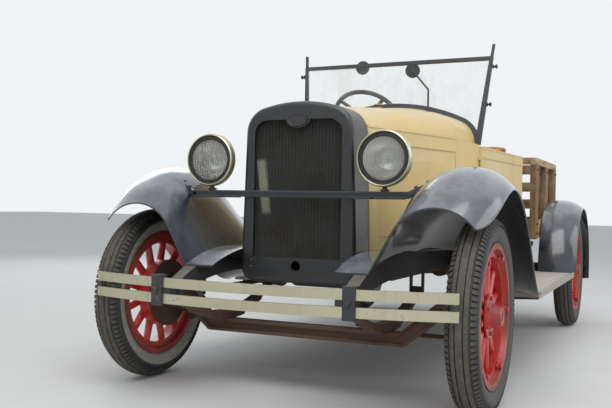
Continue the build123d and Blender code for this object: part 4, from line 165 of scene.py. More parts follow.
def block(name: str, low: Vector, high: Vector, edge: float = 0.003) -> Object:
    """Model a board or plate with rounded edges.

    Args:
        name: The piece's name.
        low: Its lowest corner.
        high: Its highest corner.
        edge: How far its edges are rounded.

    Returns:
        The piece.
    """
    bpy.ops.object.select_all(action="DESELECT")
    low, high = Vector(low), Vector(high)
    bpy.ops.mesh.primitive_cube_add(size=1.0, location=(low + high) / 2)
    obj = bpy.context.active_object
    obj.name = name
    obj.scale = high - low
    set_down(obj)
    with shaping(obj):
        bpy.ops.mesh.select_all(action="SELECT")
        bpy.ops.mesh.bevel(offset=edge, segments=2, affect="EDGES")
    return obj


def turned(name: str, profile: Sequence[tuple[float, float]], along: Vector, centre: Vector,
           steps: int = ROUND) -> Object:
    """Turn a profile about a line, as on a lathe.

    Args:
        name: The piece's name.
        profile: Points as (distance along the line, radius), from one end to the other.
        along: The direction of the line.
        centre: The point that distances are taken from.
        steps: Facets round the line.

    Returns:
        The piece, closed where its profile ends on the line.
    """
    along, centre = Vector(along).normalized(), Vector(centre)
    outward = along.orthogonal().normalized()
    points = [centre + along * distance + outward * radius for distance, radius in profile]
    bpy.ops.object.select_all(action="DESELECT")
    bpy.ops.mesh.primitive_plane_add(size=0.001, location=points[0])
    obj = bpy.context.active_object
    obj.name = name
    set_down(obj)
    with shaping(obj):
        bpy.ops.mesh.select_mode(type="VERT")
        bpy.ops.mesh.select_all(action="SELECT")
        bpy.ops.mesh.merge(type="CENTER")
        for here, there in zip(points, points[1:]):
            bpy.ops.mesh.extrude_vertices_move(TRANSFORM_OT_translate={"value": there - here})
        bpy.ops.mesh.select_all(action="SELECT")
        bpy.ops.mesh.spin(steps=steps, angle=math.tau, center=centre, axis=along)
        bpy.ops.mesh.select_all(action="SELECT")
        bpy.ops.mesh.remove_doubles(threshold=SEAM)
        bpy.ops.mesh.normals_make_consistent(inside=False)
    return obj


def joined(pieces: Sequence[Object], name: str) -> Object:
    """Join pieces into one mesh.

    Args:
        pieces: The pieces, which are used up.
        name: The joined piece's name.

    Returns:
        The joined piece.
    """
    bpy.ops.object.select_all(action="DESELECT")
    for piece in pieces:
        piece.select_set(True)
    bpy.context.view_layer.objects.active = pieces[0]
    if len(pieces) > 1:
        bpy.ops.object.join()
    pieces[0].name = name
    return pieces[0]


def twin_of(source: Object, name: str, place: Matrix = Matrix()) -> Object:
    """Copy an object with its own mesh.

    Args:
        source: The object to copy.
        name: The copy's name.
        place: A transform of the copy's mesh.

    Returns:
        The copy.
    """
    twin = bpy.data.objects.new(name, source.data.copy())
    twin.data.transform(place)
    bpy.context.scene.collection.objects.link(twin)
    return twin


def spread(source: Object, places: Sequence[Matrix], name: str) -> Object:
    """Copy a model to several places, each copy with its own mesh, and join the copies.

    Args:
        source: The model, which is used up.
        places: Where each copy goes, as transforms of the model.
        name: The joined piece's name.

    Returns:
        The joined piece.
    """
    copies = [twin_of(source, name, place) for place in places]
    bpy.data.objects.remove(source)
    return joined(copies, name)


def modify(obj: Object, kind: str, **settings: Any) -> None:
    """Add a modifier to a piece and apply it.

    Args:
        obj: The piece.
        kind: The modifier's type.
        **settings: The modifier's own settings.
    """
    only(obj)
    modifier = obj.modifiers.new(kind, kind)
    for key, value in settings.items():
        setattr(modifier, key, value)
    bpy.ops.object.modifier_apply(modifier=modifier.name)


def bolt_head(radius: float, height: float) -> Object:
    """Model a hexagon bolt head on its washer, standing along +Z at the origin.

    Args:
        radius: The hexagon's outer radius.
        height: The head's height.

    Returns:
        The head.
    """
    bpy.ops.object.select_all(action="DESELECT")
    bpy.ops.mesh.primitive_cylinder_add(vertices=6, radius=radius, depth=height, location=(0, 0, height / 2))
    obj = set_down(bpy.context.active_object)
    with shaping(obj):
        choose(obj, lambda middle, normal: normal.z > 0.9)
        bpy.ops.mesh.inset(thickness=radius * 0.16, depth=radius * 0.08)
        choose(obj, lambda middle, normal: normal.z < -0.9)
        bpy.ops.mesh.extrude_region_move(TRANSFORM_OT_translate={"value": (0, 0, -height * 0.02)})
        bpy.ops.transform.resize(value=(1.35, 1.35, 1))
    return obj


def turn_to(direction: Vector, place: Vector) -> Matrix:
    """Give the transform that stands a model's +Z along a direction at a place.

    Args:
        direction: Where the model's +Z points.
        place: Where its origin goes.

    Returns:
        The transform.
    """
    return Matrix.Translation(place) @ UP.rotation_difference(direction).to_matrix().to_4x4()


def edge_bead(name: str, node: str, radius: float, wanted: Callable[[bmesh.types.BMEdge], bool]) -> Object:
    """Lay a round bead along chosen edges of a CAD node.

    Args:
        name: The bead's name.
        node: The node whose edges it follows.
        radius: The bead's radius.
        wanted: Says of each edge of the merged copy whether the bead follows it.

    Returns:
        The bead.
    """
    bead = twin_of(frame["nodes"][node], name)
    with shaping(bead):
        bpy.ops.mesh.select_all(action="SELECT")
        bpy.ops.mesh.remove_doubles(threshold=WELD)
        bpy.ops.mesh.select_all(action="DESELECT")
        bpy.ops.mesh.select_mode(type="EDGE")
        mesh = bmesh.from_edit_mesh(bead.data)
        chosen = [edge for edge in mesh.edges if wanted(edge)]
        for edge in chosen:
            edge.select_set(True)
        bmesh.update_edit_mesh(bead.data)
        bpy.ops.mesh.select_all(action="INVERT")
        bpy.ops.mesh.delete(type="EDGE_FACE")
        bpy.ops.mesh.select_mode(type="VERT")
        bpy.ops.mesh.select_loose()
        bpy.ops.mesh.delete(type="VERT")
    only(bead)
    bpy.ops.object.convert(target="CURVE")
    bead.data.bevel_depth = radius
    bead.data.bevel_resolution = 2
    bead.data.use_fill_caps = True
    bpy.ops.object.convert(target="MESH")
    return bead


# Finishes


class Shader:
    """One material's nodes, wired in code."""

    def __init__(self, name: str) -> None:
        """Start a material with only its output."""
        self.material = bpy.data.materials.new(name)
        self.material.use_nodes = True
        self.tree = self.material.node_tree
        self.tree.nodes.clear()
        self.output = self.add("ShaderNodeOutputMaterial")
        self.place = self.add("ShaderNodeTexCoord").outputs["Object"]

    def add(self, kind: str, values: Optional[dict[Any, Any]] = None, **settings: Any) -> bpy.types.Node:
        """Add a node.

        Args:
            kind: The node's type.
            values: Inputs by name or index, each a value or another node's output.
            **settings: The node's own settings.

        Returns:
            The node.
        """
        node = self.tree.nodes.new(kind)
        for key, value in settings.items():
            setattr(node, key, value)
        for key, value in (values or {}).items():
            if isinstance(value, Socket):
                self.tree.links.new(value, node.inputs[key])
            else:
                node.inputs[key].default_value = value
        return node

    def shifted(self, centre: Vector = Vector(), scale: tuple[float, float, float] = (1, 1, 1)) -> Socket:
        """Give Object coordinates from a centre, stretched along the axes."""
        start = self.add("ShaderNodeMapping", {"Vector": self.place, "Location": -Vector(centre)}).outputs[0]
        return self.add("ShaderNodeMapping", {"Vector": start, "Scale": scale}).outputs[0]

    def noise(self, scale: float, stretch: tuple[float, float, float] = (1, 1, 1), detail: float = 5.0,
              rough: float = 0.6) -> Socket:
        """Give fractal noise from 0 to 1.

        Args:
            scale: Features in a metre.
            stretch: How much finer it is along each axis.
            detail: Octaves.
            rough: Weight of the fine octaves.

        Returns:
            The noise.
        """
        place = self.place if stretch == (1, 1, 1) else self.shifted(scale=stretch)
        return self.add("ShaderNodeTexNoise", {"Vector": place, "Scale": scale, "Detail": detail,
                                               "Roughness": rough}).outputs["Fac"]

    def band(self, value: Socket, low: float, high: float, start: float = 0.0, end: float = 1.0) -> Socket:
        """Stretch a value softly between two marks."""
        inputs = {"Value": value, "From Min": low, "From Max": high, "To Min": start, "To Max": end}
        return self.add("ShaderNodeMapRange", inputs, interpolation_type="SMOOTHSTEP").outputs[0]

    def sum(self, kind: str, first: Any, second: Any) -> Socket:
        """Combine two numbers by a named operation, held between 0 and 1."""
        return self.add("ShaderNodeMath", {0: first, 1: second}, operation=kind, use_clamp=True).outputs[0]

    def times(self, first: Any, second: Any) -> Socket:
        """Multiply two numbers."""
        return self.sum("MULTIPLY", first, second)

    def most(self, first: Any, second: Any) -> Socket:
        """Give the greater of two numbers."""
        return self.sum("MAXIMUM", first, second)

    def blend(self, share: Any, first: Any, second: Any) -> Socket:
        """Mix two colours by a share."""
        wires = {0: share, 6: opaque(first), 7: opaque(second)}
        return self.add("ShaderNodeMix", wires, data_type="RGBA").outputs[2]

    def facing_up(self) -> Socket:
        """Give how far a surface faces the sky."""
        normal = self.add("ShaderNodeNewGeometry").outputs["Normal"]
        return self.add("ShaderNodeSeparateXYZ", {0: normal}).outputs["Z"]

    def edges(self, radius: float) -> Socket:
        """Give a mask of the sharp edges.

        Args:
            radius: How wide the mask is.

        Returns:
            1 on an edge and 0 on an even surface.
        """
        soft = self.add("ShaderNodeBevel", {"Radius": radius}, samples=4).outputs[0]
        sharp = self.add("ShaderNodeNewGeometry").outputs["Normal"]
        match = self.add("ShaderNodeVectorMath", {0: soft, 1: sharp},
                         operation="DOT_PRODUCT").outputs["Value"]
        return self.band(match, 0.97, 0.75)

    def radius(self, centre: Vector) -> Socket:
        """Give the distance from a wheel's axle, in metres."""
        flat = self.shifted(centre, (0, 1, 1))
        return self.add("ShaderNodeVectorMath", {0: flat}, operation="LENGTH").outputs["Value"]

    def surface(self, inputs: dict[str, Any], height: Optional[Socket] = None,
                depth: float = 0.0) -> bpy.types.Material:
        """Close the material with a principled shader.

        Args:
            inputs: The shader's inputs.
            height: What its bump reads.
            depth: The bump's depth in metres.

        Returns:
            The material.
        """
        if height is not None:
            inputs["Normal"] = self.add("ShaderNodeBump", {"Height": height, "Strength": 0.8,
                                                           "Distance": depth}).outputs[0]
        shader = self.add("ShaderNodeBsdfPrincipled", inputs)
        self.tree.links.new(shader.outputs[0], self.output.inputs[0])
        return self.material


def opaque(colour: Any) -> Any:
    """Add full alpha to a plain colour, and leave a socket alone."""
    return colour if isinstance(colour, Socket) else (*colour, 1.0)


@dataclass(frozen=True)
class Coat:
    """A painted or bare metal surface with faded patches, chips, streaks and dust, and where asked painted
    shade on its downward faces.
    """

    name: str
    colour: Colour
    faded: Colour
    under: Colour
    dust: Colour = (0.36, 0.32, 0.26)
    roughness: float = 0.35
    worn_roughness: float = 0.75
    metallic: float = 0.0
    gloss: float = 0.0
    fade: float = 0.6
    chips: float = 0.3
    edge_wear: float = 0.5
    streaks: float = 0.3
    dusty: float = 0.4
    pitting: float = 0.0006
    # How strongly painted shade darkens the downward faces towards black.
    underside_shade: float = 0.0

    def build(self) -> bpy.types.Material:
        """Wire the coat's material and return it."""
        shader = Shader(self.name)
        patches = shader.band(shader.noise(2.6, detail=4), 0.36, 0.68, 0.0, self.fade)
        runs = shader.band(shader.noise(9.0, (2.4, 2.4, 0.16), detail=5), 0.5, 0.78, 0.0, self.streaks)
        fine = shader.noise(46.0, detail=8, rough=0.7)
        clusters = shader.noise(5.5, detail=4)
        spots = shader.times(shader.band(fine, 0.62 - 0.1 * self.chips, 0.68 - 0.1 * self.chips),
                             shader.band(clusters, 0.5, 0.68))
        rubbed = shader.times(shader.edges(0.004), shader.band(fine, 0.4, 0.6))
        bare = shader.most(shader.times(spots, min(1.0, self.chips * 2)),
                           shader.times(rubbed, self.edge_wear))
        # Dust film on upward faces; with the fenders' blue-grey dust colour it is also a painted sky
        # reflection.
        film = shader.times(shader.band(shader.facing_up(), 0.25, 0.95),
                            shader.band(shader.noise(7.0, detail=6), 0.3, 0.7, 0.35, 1.0))
        film = shader.times(film, self.dusty)
        colour = shader.blend(patches, self.colour, self.faded)
        colour = shader.blend(runs, colour, tuple(0.62 * tone for tone in self.faded))
        colour = shader.blend(bare, colour, self.under)
        colour = shader.blend(film, colour, self.dust)
        # Painted shade: faces that turn downward are darkened towards near black.
        if self.underside_shade:
            below = shader.times(shader.band(shader.facing_up(), -0.08, -0.4), self.underside_shade)
            colour = shader.blend(below, colour, (0.006, 0.006, 0.006))
        matt = shader.most(shader.most(bare, film), shader.times(patches, 0.45))
        roughness = shader.band(matt, 0.0, 1.0, self.roughness, self.worn_roughness)
        height = shader.sum("SUBTRACT", shader.noise(120.0, detail=3), shader.times(bare, 0.6))
        return shader.surface({"Base Color": colour, "Roughness": roughness, "Metallic": self.metallic,
                               "Coat Weight": self.gloss, "Coat Roughness": 0.12}, height, self.pitting)


@dataclass(frozen=True)
class WheelPaint:
    """Red wheel enamel, grimy by the hub and rim, for the wheels of one axle."""

    name: str
    axle: Vector
    colour: Colour = (0.5, 0.022, 0.02)
    faded: Colour = (0.6, 0.1, 0.075)
    grime: Colour = (0.07, 0.035, 0.025)
    rim_start: float = 0.222
    rim_end: float = 0.27

    def build(self) -> bpy.types.Material:
        """Wire the enamel's material and return it."""
        shader = Shader(self.name)
        radius = shader.radius(self.axle)
        grain = shader.noise(11.0, detail=6)
        fine = shader.noise(70.0, detail=7, rough=0.7)
        colour = shader.blend(shader.band(grain, 0.38, 0.66, 0, 0.75), self.colour, self.faded)
        rim = shader.times(shader.band(radius, self.rim_start, self.rim_end),
                           shader.band(grain, 0.3, 0.6, 0.15, 0.8))
        hub = shader.times(shader.band(radius, 0.11, 0.05), shader.band(grain, 0.4, 0.65, 0.05, 0.6))
        chips = shader.times(shader.band(fine, 0.6, 0.66), shader.band(grain, 0.48, 0.62))
        wear = shader.most(chips, shader.times(shader.edges(0.003), 0.55))
        dirt = shader.most(rim, hub)
        colour = shader.blend(dirt, colour, self.grime)
        colour = shader.blend(wear, colour, (0.13, 0.06, 0.04))
        roughness = shader.band(shader.most(dirt, wear), 0, 1, 0.34, 0.8)
        return shader.surface({"Base Color": colour, "Roughness": roughness, "Coat Weight": 0.25,
                               "Coat Roughness": 0.25}, fine, 0.0008)


@dataclass(frozen=True)
class Rubber:
    """Perished tyre rubber, dusty on the tread and paler in a ring by the rim."""

    name: str
    axle: Vector
    colour: Colour = (0.02, 0.02, 0.021)
    perished: Colour = (0.062, 0.061, 0.058)
    dust: Colour = (0.24, 0.2, 0.155)
    ring_colour: Colour = (0.4, 0.38, 0.33)
    ring: tuple[float, float] = (0.286, 0.322)

    def build(self) -> bpy.types.Material:
        """Wire the rubber's material and return it."""
        shader = Shader(self.name)
        radius = shader.radius(self.axle)
        broad = shader.noise(4.5, detail=6)
        fine = shader.noise(60.0, detail=8, rough=0.72)
        cracks = shader.add("ShaderNodeTexVoronoi", {"Vector": shader.place, "Scale": 85.0},
                            feature="DISTANCE_TO_EDGE").outputs["Distance"]
        crazed = shader.times(shader.band(cracks, 0.06, 0.0), shader.band(broad, 0.45, 0.65, 0, 0.7))
        ring = shader.times(shader.band(radius, self.ring[0] - 0.012, self.ring[0]),
                            shader.band(radius, self.ring[1] + 0.008, self.ring[1]))
        colour = shader.blend(shader.band(broad, 0.35, 0.7, 0.1, 0.9), self.colour, self.perished)
        across = shader.add("ShaderNodeMath",
                            {0: shader.add("ShaderNodeSeparateXYZ", {0: shader.place}).outputs["X"]},
                            operation="ABSOLUTE").outputs[0]
        inner = shader.band(across, abs(self.axle.x) + 0.005, abs(self.axle.x) - 0.02, 0.12, 1.0)
        share = shader.times(shader.times(ring, inner), shader.band(fine, 0.28, 0.6, 0.45, 0.95))
        colour = shader.blend(share, colour, self.ring_colour)
        tread = shader.times(shader.band(radius, 0.352, 0.372), shader.band(fine, 0.35, 0.7, 0.1, 0.5))
        colour = shader.blend(tread, colour, self.dust)
        colour = shader.blend(crazed, colour, (0.012, 0.011, 0.01))
        height = shader.sum("SUBTRACT", fine, crazed)
        return shader.surface({"Base Color": colour, "Roughness": shader.band(fine, 0.3, 0.7, 0.62, 0.9)},
                              height, 0.0012)


class Grain(Enum):
    """Which way the wood grain of a board runs, as noise stretched along an axis."""

    ALONG_X = (0.06, 1.0, 1.0)
    ALONG_Y = (1.0, 0.06, 1.0)
    UPRIGHT = (1.0, 1.0, 0.06)


@dataclass(frozen=True)
class Timber:
    """Weathered sawn timber."""

    name: str
    grain: Grain
    light: Colour = (0.27, 0.165, 0.075)
    dark: Colour = (0.1, 0.05, 0.02)
    silver: Colour = (0.33, 0.26, 0.17)

    def build(self) -> bpy.types.Material:
        """Wire the timber's material and return it."""
        shader = Shader(self.name)
        figure = shader.noise(38.0, self.grain.value, detail=6, rough=0.68)
        lines = shader.noise(240.0, self.grain.value, detail=3, rough=0.5)
        broad = shader.noise(5.0, detail=4)
        colour = shader.blend(shader.band(figure, 0.34, 0.66), self.dark, self.light)
        colour = shader.blend(shader.band(broad, 0.45, 0.72, 0.0, 0.75), colour, self.silver)
        checks = shader.times(shader.band(lines, 0.6, 0.68), shader.band(figure, 0.5, 0.36))
        colour = shader.blend(shader.times(checks, 0.9), colour, (0.03, 0.018, 0.01))
        colour = shader.blend(shader.times(shader.edges(0.004), 0.5), colour, self.silver)
        height = shader.sum("SUBTRACT", shader.times(shader.sum("ADD", figure, lines), 0.5), checks)
        return shader.surface({"Base Color": colour, "Roughness": shader.band(figure, 0.3, 0.7, 0.72, 0.9)},
                              height, 0.002)


@dataclass(frozen=True)
class Leather:
    """Sun-worn upholstery leather with creases, pores and rubbed high places."""

    name: str
    colour: Colour = (0.36, 0.13, 0.035)
    rubbed: Colour = (0.55, 0.29, 0.11)
    deep: Colour = (0.1, 0.035, 0.014)

    def build(self) -> bpy.types.Material:
        """Wire the leather's material and return it."""
        shader = Shader(self.name)
        pores = shader.add("ShaderNodeTexVoronoi", {"Vector": shader.place, "Scale": 420.0},
                           feature="DISTANCE_TO_EDGE").outputs["Distance"]
        creases = shader.add("ShaderNodeTexVoronoi",
                             {"Vector": shader.shifted(scale=(1, 2.2, 1.4)), "Scale": 34.0},
                             feature="DISTANCE_TO_EDGE").outputs["Distance"]
        broad = shader.noise(6.0, detail=6)
        worn = shader.times(shader.band(shader.facing_up(), 0.1, 0.9, 0.25, 1.0),
                            shader.band(broad, 0.35, 0.65))
        colour = shader.blend(worn, self.colour, self.rubbed)
        folds = shader.times(shader.band(creases, 0.05, 0.0), shader.band(broad, 0.4, 0.6, 0.1, 0.8))
        colour = shader.blend(folds, colour, self.deep)
        height = shader.sum("SUBTRACT", shader.band(pores, 0.0, 0.3), folds)
        return shader.surface({"Base Color": colour, "Roughness": shader.band(broad, 0.3, 0.7, 0.42, 0.68),
                               "Sheen Weight": 0.1}, height, 0.0007)


@dataclass(frozen=True)
class Pane:
    """Clear glass with a film of dust, or ribbed lamp glass."""

    name: str
    tint: Colour = (0.95, 0.97, 0.96)
    film: Colour = (0.55, 0.53, 0.48)
    film_share: float = 0.1
    ribs: float = 0.0

    def build(self) -> bpy.types.Material:
        """Wire the glass's material and return it."""
        shader = Shader(self.name)
        smears = shader.band(shader.noise(5.0, (1, 1, 0.5), detail=7, rough=0.7), 0.4, 0.75)
        specks = shader.band(shader.noise(90.0, detail=5), 0.66, 0.7)
        dirt = shader.times(shader.most(smears, specks), self.film_share)
        values = {"Base Color": opaque(self.tint), "Roughness": shader.band(smears, 0, 1, 0.0, 0.12),
                  "Transmission Weight": 1.0, "IOR": 1.46}
        if self.ribs:
            wave = shader.add("ShaderNodeTexWave",
                              {"Vector": shader.place, "Scale": self.ribs, "Distortion": 0.0},
                              wave_type="BANDS", bands_direction="X").outputs["Fac"]
            values["Normal"] = shader.add("ShaderNodeBump", {"Height": wave, "Strength": 0.8,
                                                             "Distance": 0.003}).outputs[0]
            dirt = shader.sum("ADD", dirt, shader.band(wave, 0.2, 0.9, 0.04, 0.17))
        clear = shader.add("ShaderNodeBsdfPrincipled", values)
        dust = shader.add("ShaderNodeBsdfDiffuse", {"Color": opaque(self.film)})
        mixed = shader.add("ShaderNodeMixShader", {0: dirt, 1: clear.outputs[0], 2: dust.outputs[0]})
        shader.tree.links.new(mixed.outputs[0], shader.output.inputs[0])
        return shader.material


@dataclass(frozen=True)
class MeshWire:
    """Dark radiator mesh with a strip of painted light across it, pale as the bright background."""

    name: str
    colour: Colour = (0.1, 0.106, 0.095)
    rust: Colour = (0.085, 0.07, 0.055)
    pale: Colour = (0.62, 0.6, 0.5)
    light_strip_x: tuple[float, float] = (-0.19, -0.135)
    light_strip_z: tuple[float, float] = (0.74, 0.99)

    def build(self) -> bpy.types.Material:
        """Wire the mesh's material and return it."""
        shader = Shader(self.name)
        broad = shader.noise(7.0, detail=6)
        axes = shader.add("ShaderNodeSeparateXYZ", {0: shader.place})
        lean = shader.add("ShaderNodeMath", {0: axes.outputs["Z"], 1: 0.12, 2: axes.outputs["X"]},
                          operation="MULTIPLY_ADD").outputs[0]
        offset = 0.12 * (self.light_strip_z[0] + self.light_strip_z[1]) / 2
        start, end = self.light_strip_x[0] + offset, self.light_strip_x[1] + offset
        # Painted light: a leaning pale strip, the colour of the bright background, laid over the mesh's own
        # dark paint.
        inside = shader.times(shader.band(lean, start, start + 0.01), shader.band(lean, end, end - 0.02))
        for low, high in ((self.light_strip_z[0], self.light_strip_z[0] + 0.03),
                          (self.light_strip_z[1], self.light_strip_z[1] - 0.02)):
            inside = shader.times(inside, shader.band(axes.outputs["Z"], low, high))
        colour = shader.blend(shader.band(broad, 0.45, 0.7), self.colour, self.rust)
        colour = shader.blend(inside, colour, self.pale)
        return shader.surface({"Base Color": colour, "Roughness": shader.band(broad, 0.3, 0.7, 0.5, 0.8),
                               "Metallic": 0.3}, shader.noise(300.0), 0.0003)


CREAM = Coat("cream_coachwork", (0.64, 0.46, 0.18), (0.68, 0.53, 0.27), (0.3, 0.17, 0.08),
             dust=(0.6, 0.55, 0.42), roughness=0.42, worn_roughness=0.7, gloss=0.12, chips=0.22,
             edge_wear=0.35, streaks=0.28, dusty=0.7)
# The fenders' pale blue-grey dust colour is real dust and also a painted reflection of the sky on their tops.
FENDER = Coat("fender_enamel", (0.01, 0.014, 0.022), (0.035, 0.043, 0.056), (0.1, 0.085, 0.07),
              dust=(0.4, 0.44, 0.49), roughness=0.13, worn_roughness=0.46, gloss=0.9, fade=0.7, chips=0.2,
              streaks=0.3, dusty=0.55, underside_shade=0.9)
SHELL = Coat("shell_enamel", (0.012, 0.013, 0.015), (0.03, 0.03, 0.031), (0.1, 0.085, 0.07),
             dust=(0.13, 0.125, 0.115), roughness=0.34, worn_roughness=0.66, gloss=0.25, fade=0.7, chips=0.3,
             streaks=0.45, dusty=0.5)
FRAME_STEEL = Coat("chassis_black", (0.02, 0.02, 0.021), (0.05, 0.042, 0.036), (0.13, 0.06, 0.03),
                   roughness=0.55, worn_roughness=0.85, chips=0.9, edge_wear=0.6, dusty=0.6)
RUSTY = Coat("rusty_steel", (0.085, 0.048, 0.03), (0.12, 0.07, 0.045), (0.2, 0.09, 0.035), roughness=0.7,
             worn_roughness=0.92, metallic=0.2, fade=0.9, chips=0.8, edge_wear=0.4, pitting=0.0016)
IRON = Coat("cast_iron", (0.05, 0.052, 0.05), (0.08, 0.07, 0.055), (0.15, 0.08, 0.045), roughness=0.65,
            worn_roughness=0.9, chips=0.6, pitting=0.002)
NICKEL = Coat("dulled_nickel", (0.6, 0.57, 0.41), (0.48, 0.45, 0.3), (0.2, 0.14, 0.09),
              dust=(0.44, 0.41, 0.33), roughness=0.3, worn_roughness=0.6, metallic=0.85, chips=0.35,
              edge_wear=0.3, streaks=0.35, dusty=0.3)
REFLECTOR = Coat("lamp_reflector", (0.8, 0.8, 0.76), (0.6, 0.58, 0.5), (0.3, 0.26, 0.2), roughness=0.12,
                 worn_roughness=0.4, metallic=1.0, chips=0.25, dusty=0.1, edge_wear=0.1)
BRASS = Coat("hub_brass", (0.42, 0.29, 0.1), (0.3, 0.2, 0.09), (0.1, 0.05, 0.025), roughness=0.45,
             worn_roughness=0.8, metallic=0.8, chips=0.6)
SCREEN = Coat("screen_enamel", (0.03, 0.033, 0.038), (0.07, 0.07, 0.07), (0.15, 0.11, 0.08), roughness=0.5,
              worn_roughness=0.8, chips=0.6, edge_wear=0.7, streaks=0.4, dusty=0.3)
RIM_BLACK = Coat("steering_rim", (0.018, 0.018, 0.019), (0.05, 0.047, 0.042), (0.09, 0.07, 0.05),
                 roughness=0.38, worn_roughness=0.65, gloss=0.2, chips=0.3)
BOARD = Coat("running_board", (0.36, 0.325, 0.29), (0.45, 0.42, 0.385), (0.15, 0.115, 0.09),
             dust=(0.52, 0.5, 0.46), roughness=0.75, worn_roughness=0.92, chips=0.6, dusty=0.7, edge_wear=0.3)
STRIP = Coat("rubber_strip", (0.02, 0.02, 0.021), (0.045, 0.043, 0.04), (0.07, 0.06, 0.05), roughness=0.6,
             worn_roughness=0.85, dusty=0.35)
PALE_METAL = Coat("edge_metal", (0.42, 0.4, 0.35), (0.34, 0.31, 0.27), (0.2, 0.12, 0.07), roughness=0.5,
                  worn_roughness=0.8, metallic=0.5, chips=0.5)
MIRROR = Coat("mirror_face", (0.82, 0.84, 0.84), (0.7, 0.7, 0.68), (0.2, 0.18, 0.15), roughness=0.03,
              worn_roughness=0.3, metallic=1.0, fade=0.3, chips=0.2, dusty=0.05, edge_wear=0.1, pitting=0.0)
LEVER_STEEL = Coat("lever_steel", (0.03, 0.03, 0.03), (0.07, 0.055, 0.045), (0.2, 0.17, 0.14), roughness=0.45,
                   worn_roughness=0.8, metallic=0.4, chips=0.7, edge_wear=0.9, dusty=0.5)
BAR_ENAMEL = Coat("bar_enamel", (0.013, 0.02, 0.027), (0.035, 0.045, 0.052), (0.11, 0.09, 0.07),
                  dust=(0.22, 0.23, 0.23), roughness=0.3, worn_roughness=0.6, gloss=0.35, chips=0.35,
                  edge_wear=0.6, dusty=0.6)
DASH_GREY = Coat("dash_paint", (0.1, 0.098, 0.09), (0.14, 0.13, 0.11), (0.2, 0.12, 0.07), roughness=0.5)
DARK_CORE = Coat("core_metal", (0.006, 0.0065, 0.006), (0.012, 0.012, 0.01), (0.03, 0.022, 0.014),
                 roughness=0.6, worn_roughness=0.9, metallic=0.2, dusty=0.15)


class Palette:
    """The finishes, each built once and shared."""

    def __init__(self) -> None:
        """Start with nothing built."""
        self.built: dict[str, bpy.types.Material] = {}

    def get(self, finish: Any) -> bpy.types.Material:
        """Give a finish's material, building it the first time.

        Args:
            finish: A finish from the list above.

        Returns:
            Its material.
        """
        if finish.name not in self.built:
            self.built[finish.name] = finish.build()
        return self.built[finish.name]


PALETTE = Palette()


def dress(obj: Object, finish: Any) -> Object:
    """Give an object one finish all over.

    Args:
        obj: A new piece or a CAD node.
        finish: The finish.

    Returns:
        The same object.
    """
    material = PALETTE.get(finish)
    if not obj.material_slots:
        obj.data.materials.append(material)
    for slot in obj.material_slots:
        slot.material = material
    return obj


def deliver(obj: Object, finish: Any, body: str, angle: float = SMOOTH_ANGLE) -> Object:
    """Finish a new piece: smooth it, dress it and let it ride on its body.

    Args:
        obj: The piece, with its place in its mesh.
        finish: Its finish.
        body: The CAD body that it rides on.
        angle: Faces that meet at more than this stay sharp.

    Returns:
        The piece.
    """
    only(obj)
    bpy.ops.object.shade_smooth_by_angle(angle=angle)
    dress(obj, finish)
    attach(obj, body)
    return obj


# Running gear


@dataclass
class Tyres:
    """Four worn tyres: bulged walls, centre ribs and square shoulder blocks."""

    radius: float = 0.381
    crown_drop: float = 0.015
    shoulder: float = 0.047
    half_width: float = 0.059
    bead_half: float = 0.0437
    bead_radius: float = 0.2623
    flange_radius: float = 0.281
    tread_depth: float = 0.008
    pitches: int = 104
    groove: float = 0.004
    rib_edges: tuple[float, float] = (0.012, 0.031)

    def crown(self, across: float, depth: float = 0.0) -> tuple[float, float]:
        """Give a point of the tread's crown, below its surface by a depth."""
        bend = (self.shoulder ** 2 + self.crown_drop ** 2) / (2 * self.crown_drop)
        return across, self.radius - bend + math.sqrt((bend - depth) ** 2 - across ** 2)

    def half_profile(self) -> list[tuple[float, float]]:
        """Give the profile from the middle of the tread to the bead."""
        first, second = self.rib_edges
        wall_middle = (self.flange_radius + self.radius - self.crown_drop) / 2
        points = [self.crown(0.0), self.crown(first), self.crown(first + 0.001, self.tread_depth),
                  self.crown(first + self.groove, self.tread_depth), self.crown(first + self.groove + 0.001),
                  self.crown(second), self.crown(second + 0.001, self.tread_depth),
                  self.crown(second + self.groove, self.tread_depth),
                  self.crown(self.shoulder, self.tread_depth)]
        points += [(self.shoulder + 0.004, self.radius - self.crown_drop - 0.02),
                   (self.half_width - 0.001, 0.338),
                   (self.half_width, wall_middle), (self.half_width - 0.003, 0.302), (0.050, 0.289),
                   (self.bead_half, self.flange_radius), (self.bead_half, self.bead_radius)]
        return points

    def model(self) -> Object:
        """Model one tyre at the origin, about the X axis."""
        half = self.half_profile()
        whole = [(-across, radius) for across, radius in reversed(half)] + half[1:]
        whole.append(whole[0])
        steps = self.pitches * 3
        tyre = turned("tyre", whole, ACROSS, Vector(), steps)

        def block_face(middle: Vector, normal: Vector) -> bool:
            """Tell whether a face is the root of a shoulder block."""
            out = math.hypot(middle.y, middle.z)
            across = abs(middle.x)
            if not (self.rib_edges[1] + self.groove < across < self.half_width and 0.345 < out < self.radius):
                return False
            shift = 1 if middle.x > 0 else 0
            return (sector(middle.z, middle.y, steps) + shift) % 3 != 0

        with shaping(tyre):
            choose(tyre, block_face)
            rise = {"value": self.tread_depth - 0.0005}
            bpy.ops.mesh.extrude_region_shrink_fatten(TRANSFORM_OT_shrink_fatten=rise)
        return tyre

    def build(self) -> None:
        """Put a tyre on each wheel in place of its plain solid."""
        source = self.model()
        for axle, centre in (("front", FRONT_AXLE), ("rear", REAR_AXLE)):
            rubber = Rubber(f"tyre_rubber_{axle}", centre)
            for side in Side:
                tail = f"{axle}_{side.name.lower()}"
                place = Matrix.Translation((side.value * centre.x, centre.y, centre.z))
                tyre = twin_of(source, f"treaded_tyre_{tail}", place)
                deliver(tyre, rubber, f"wheel_{tail}")
                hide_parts(f"tyre_{tail}")
        bpy.data.objects.remove(source)


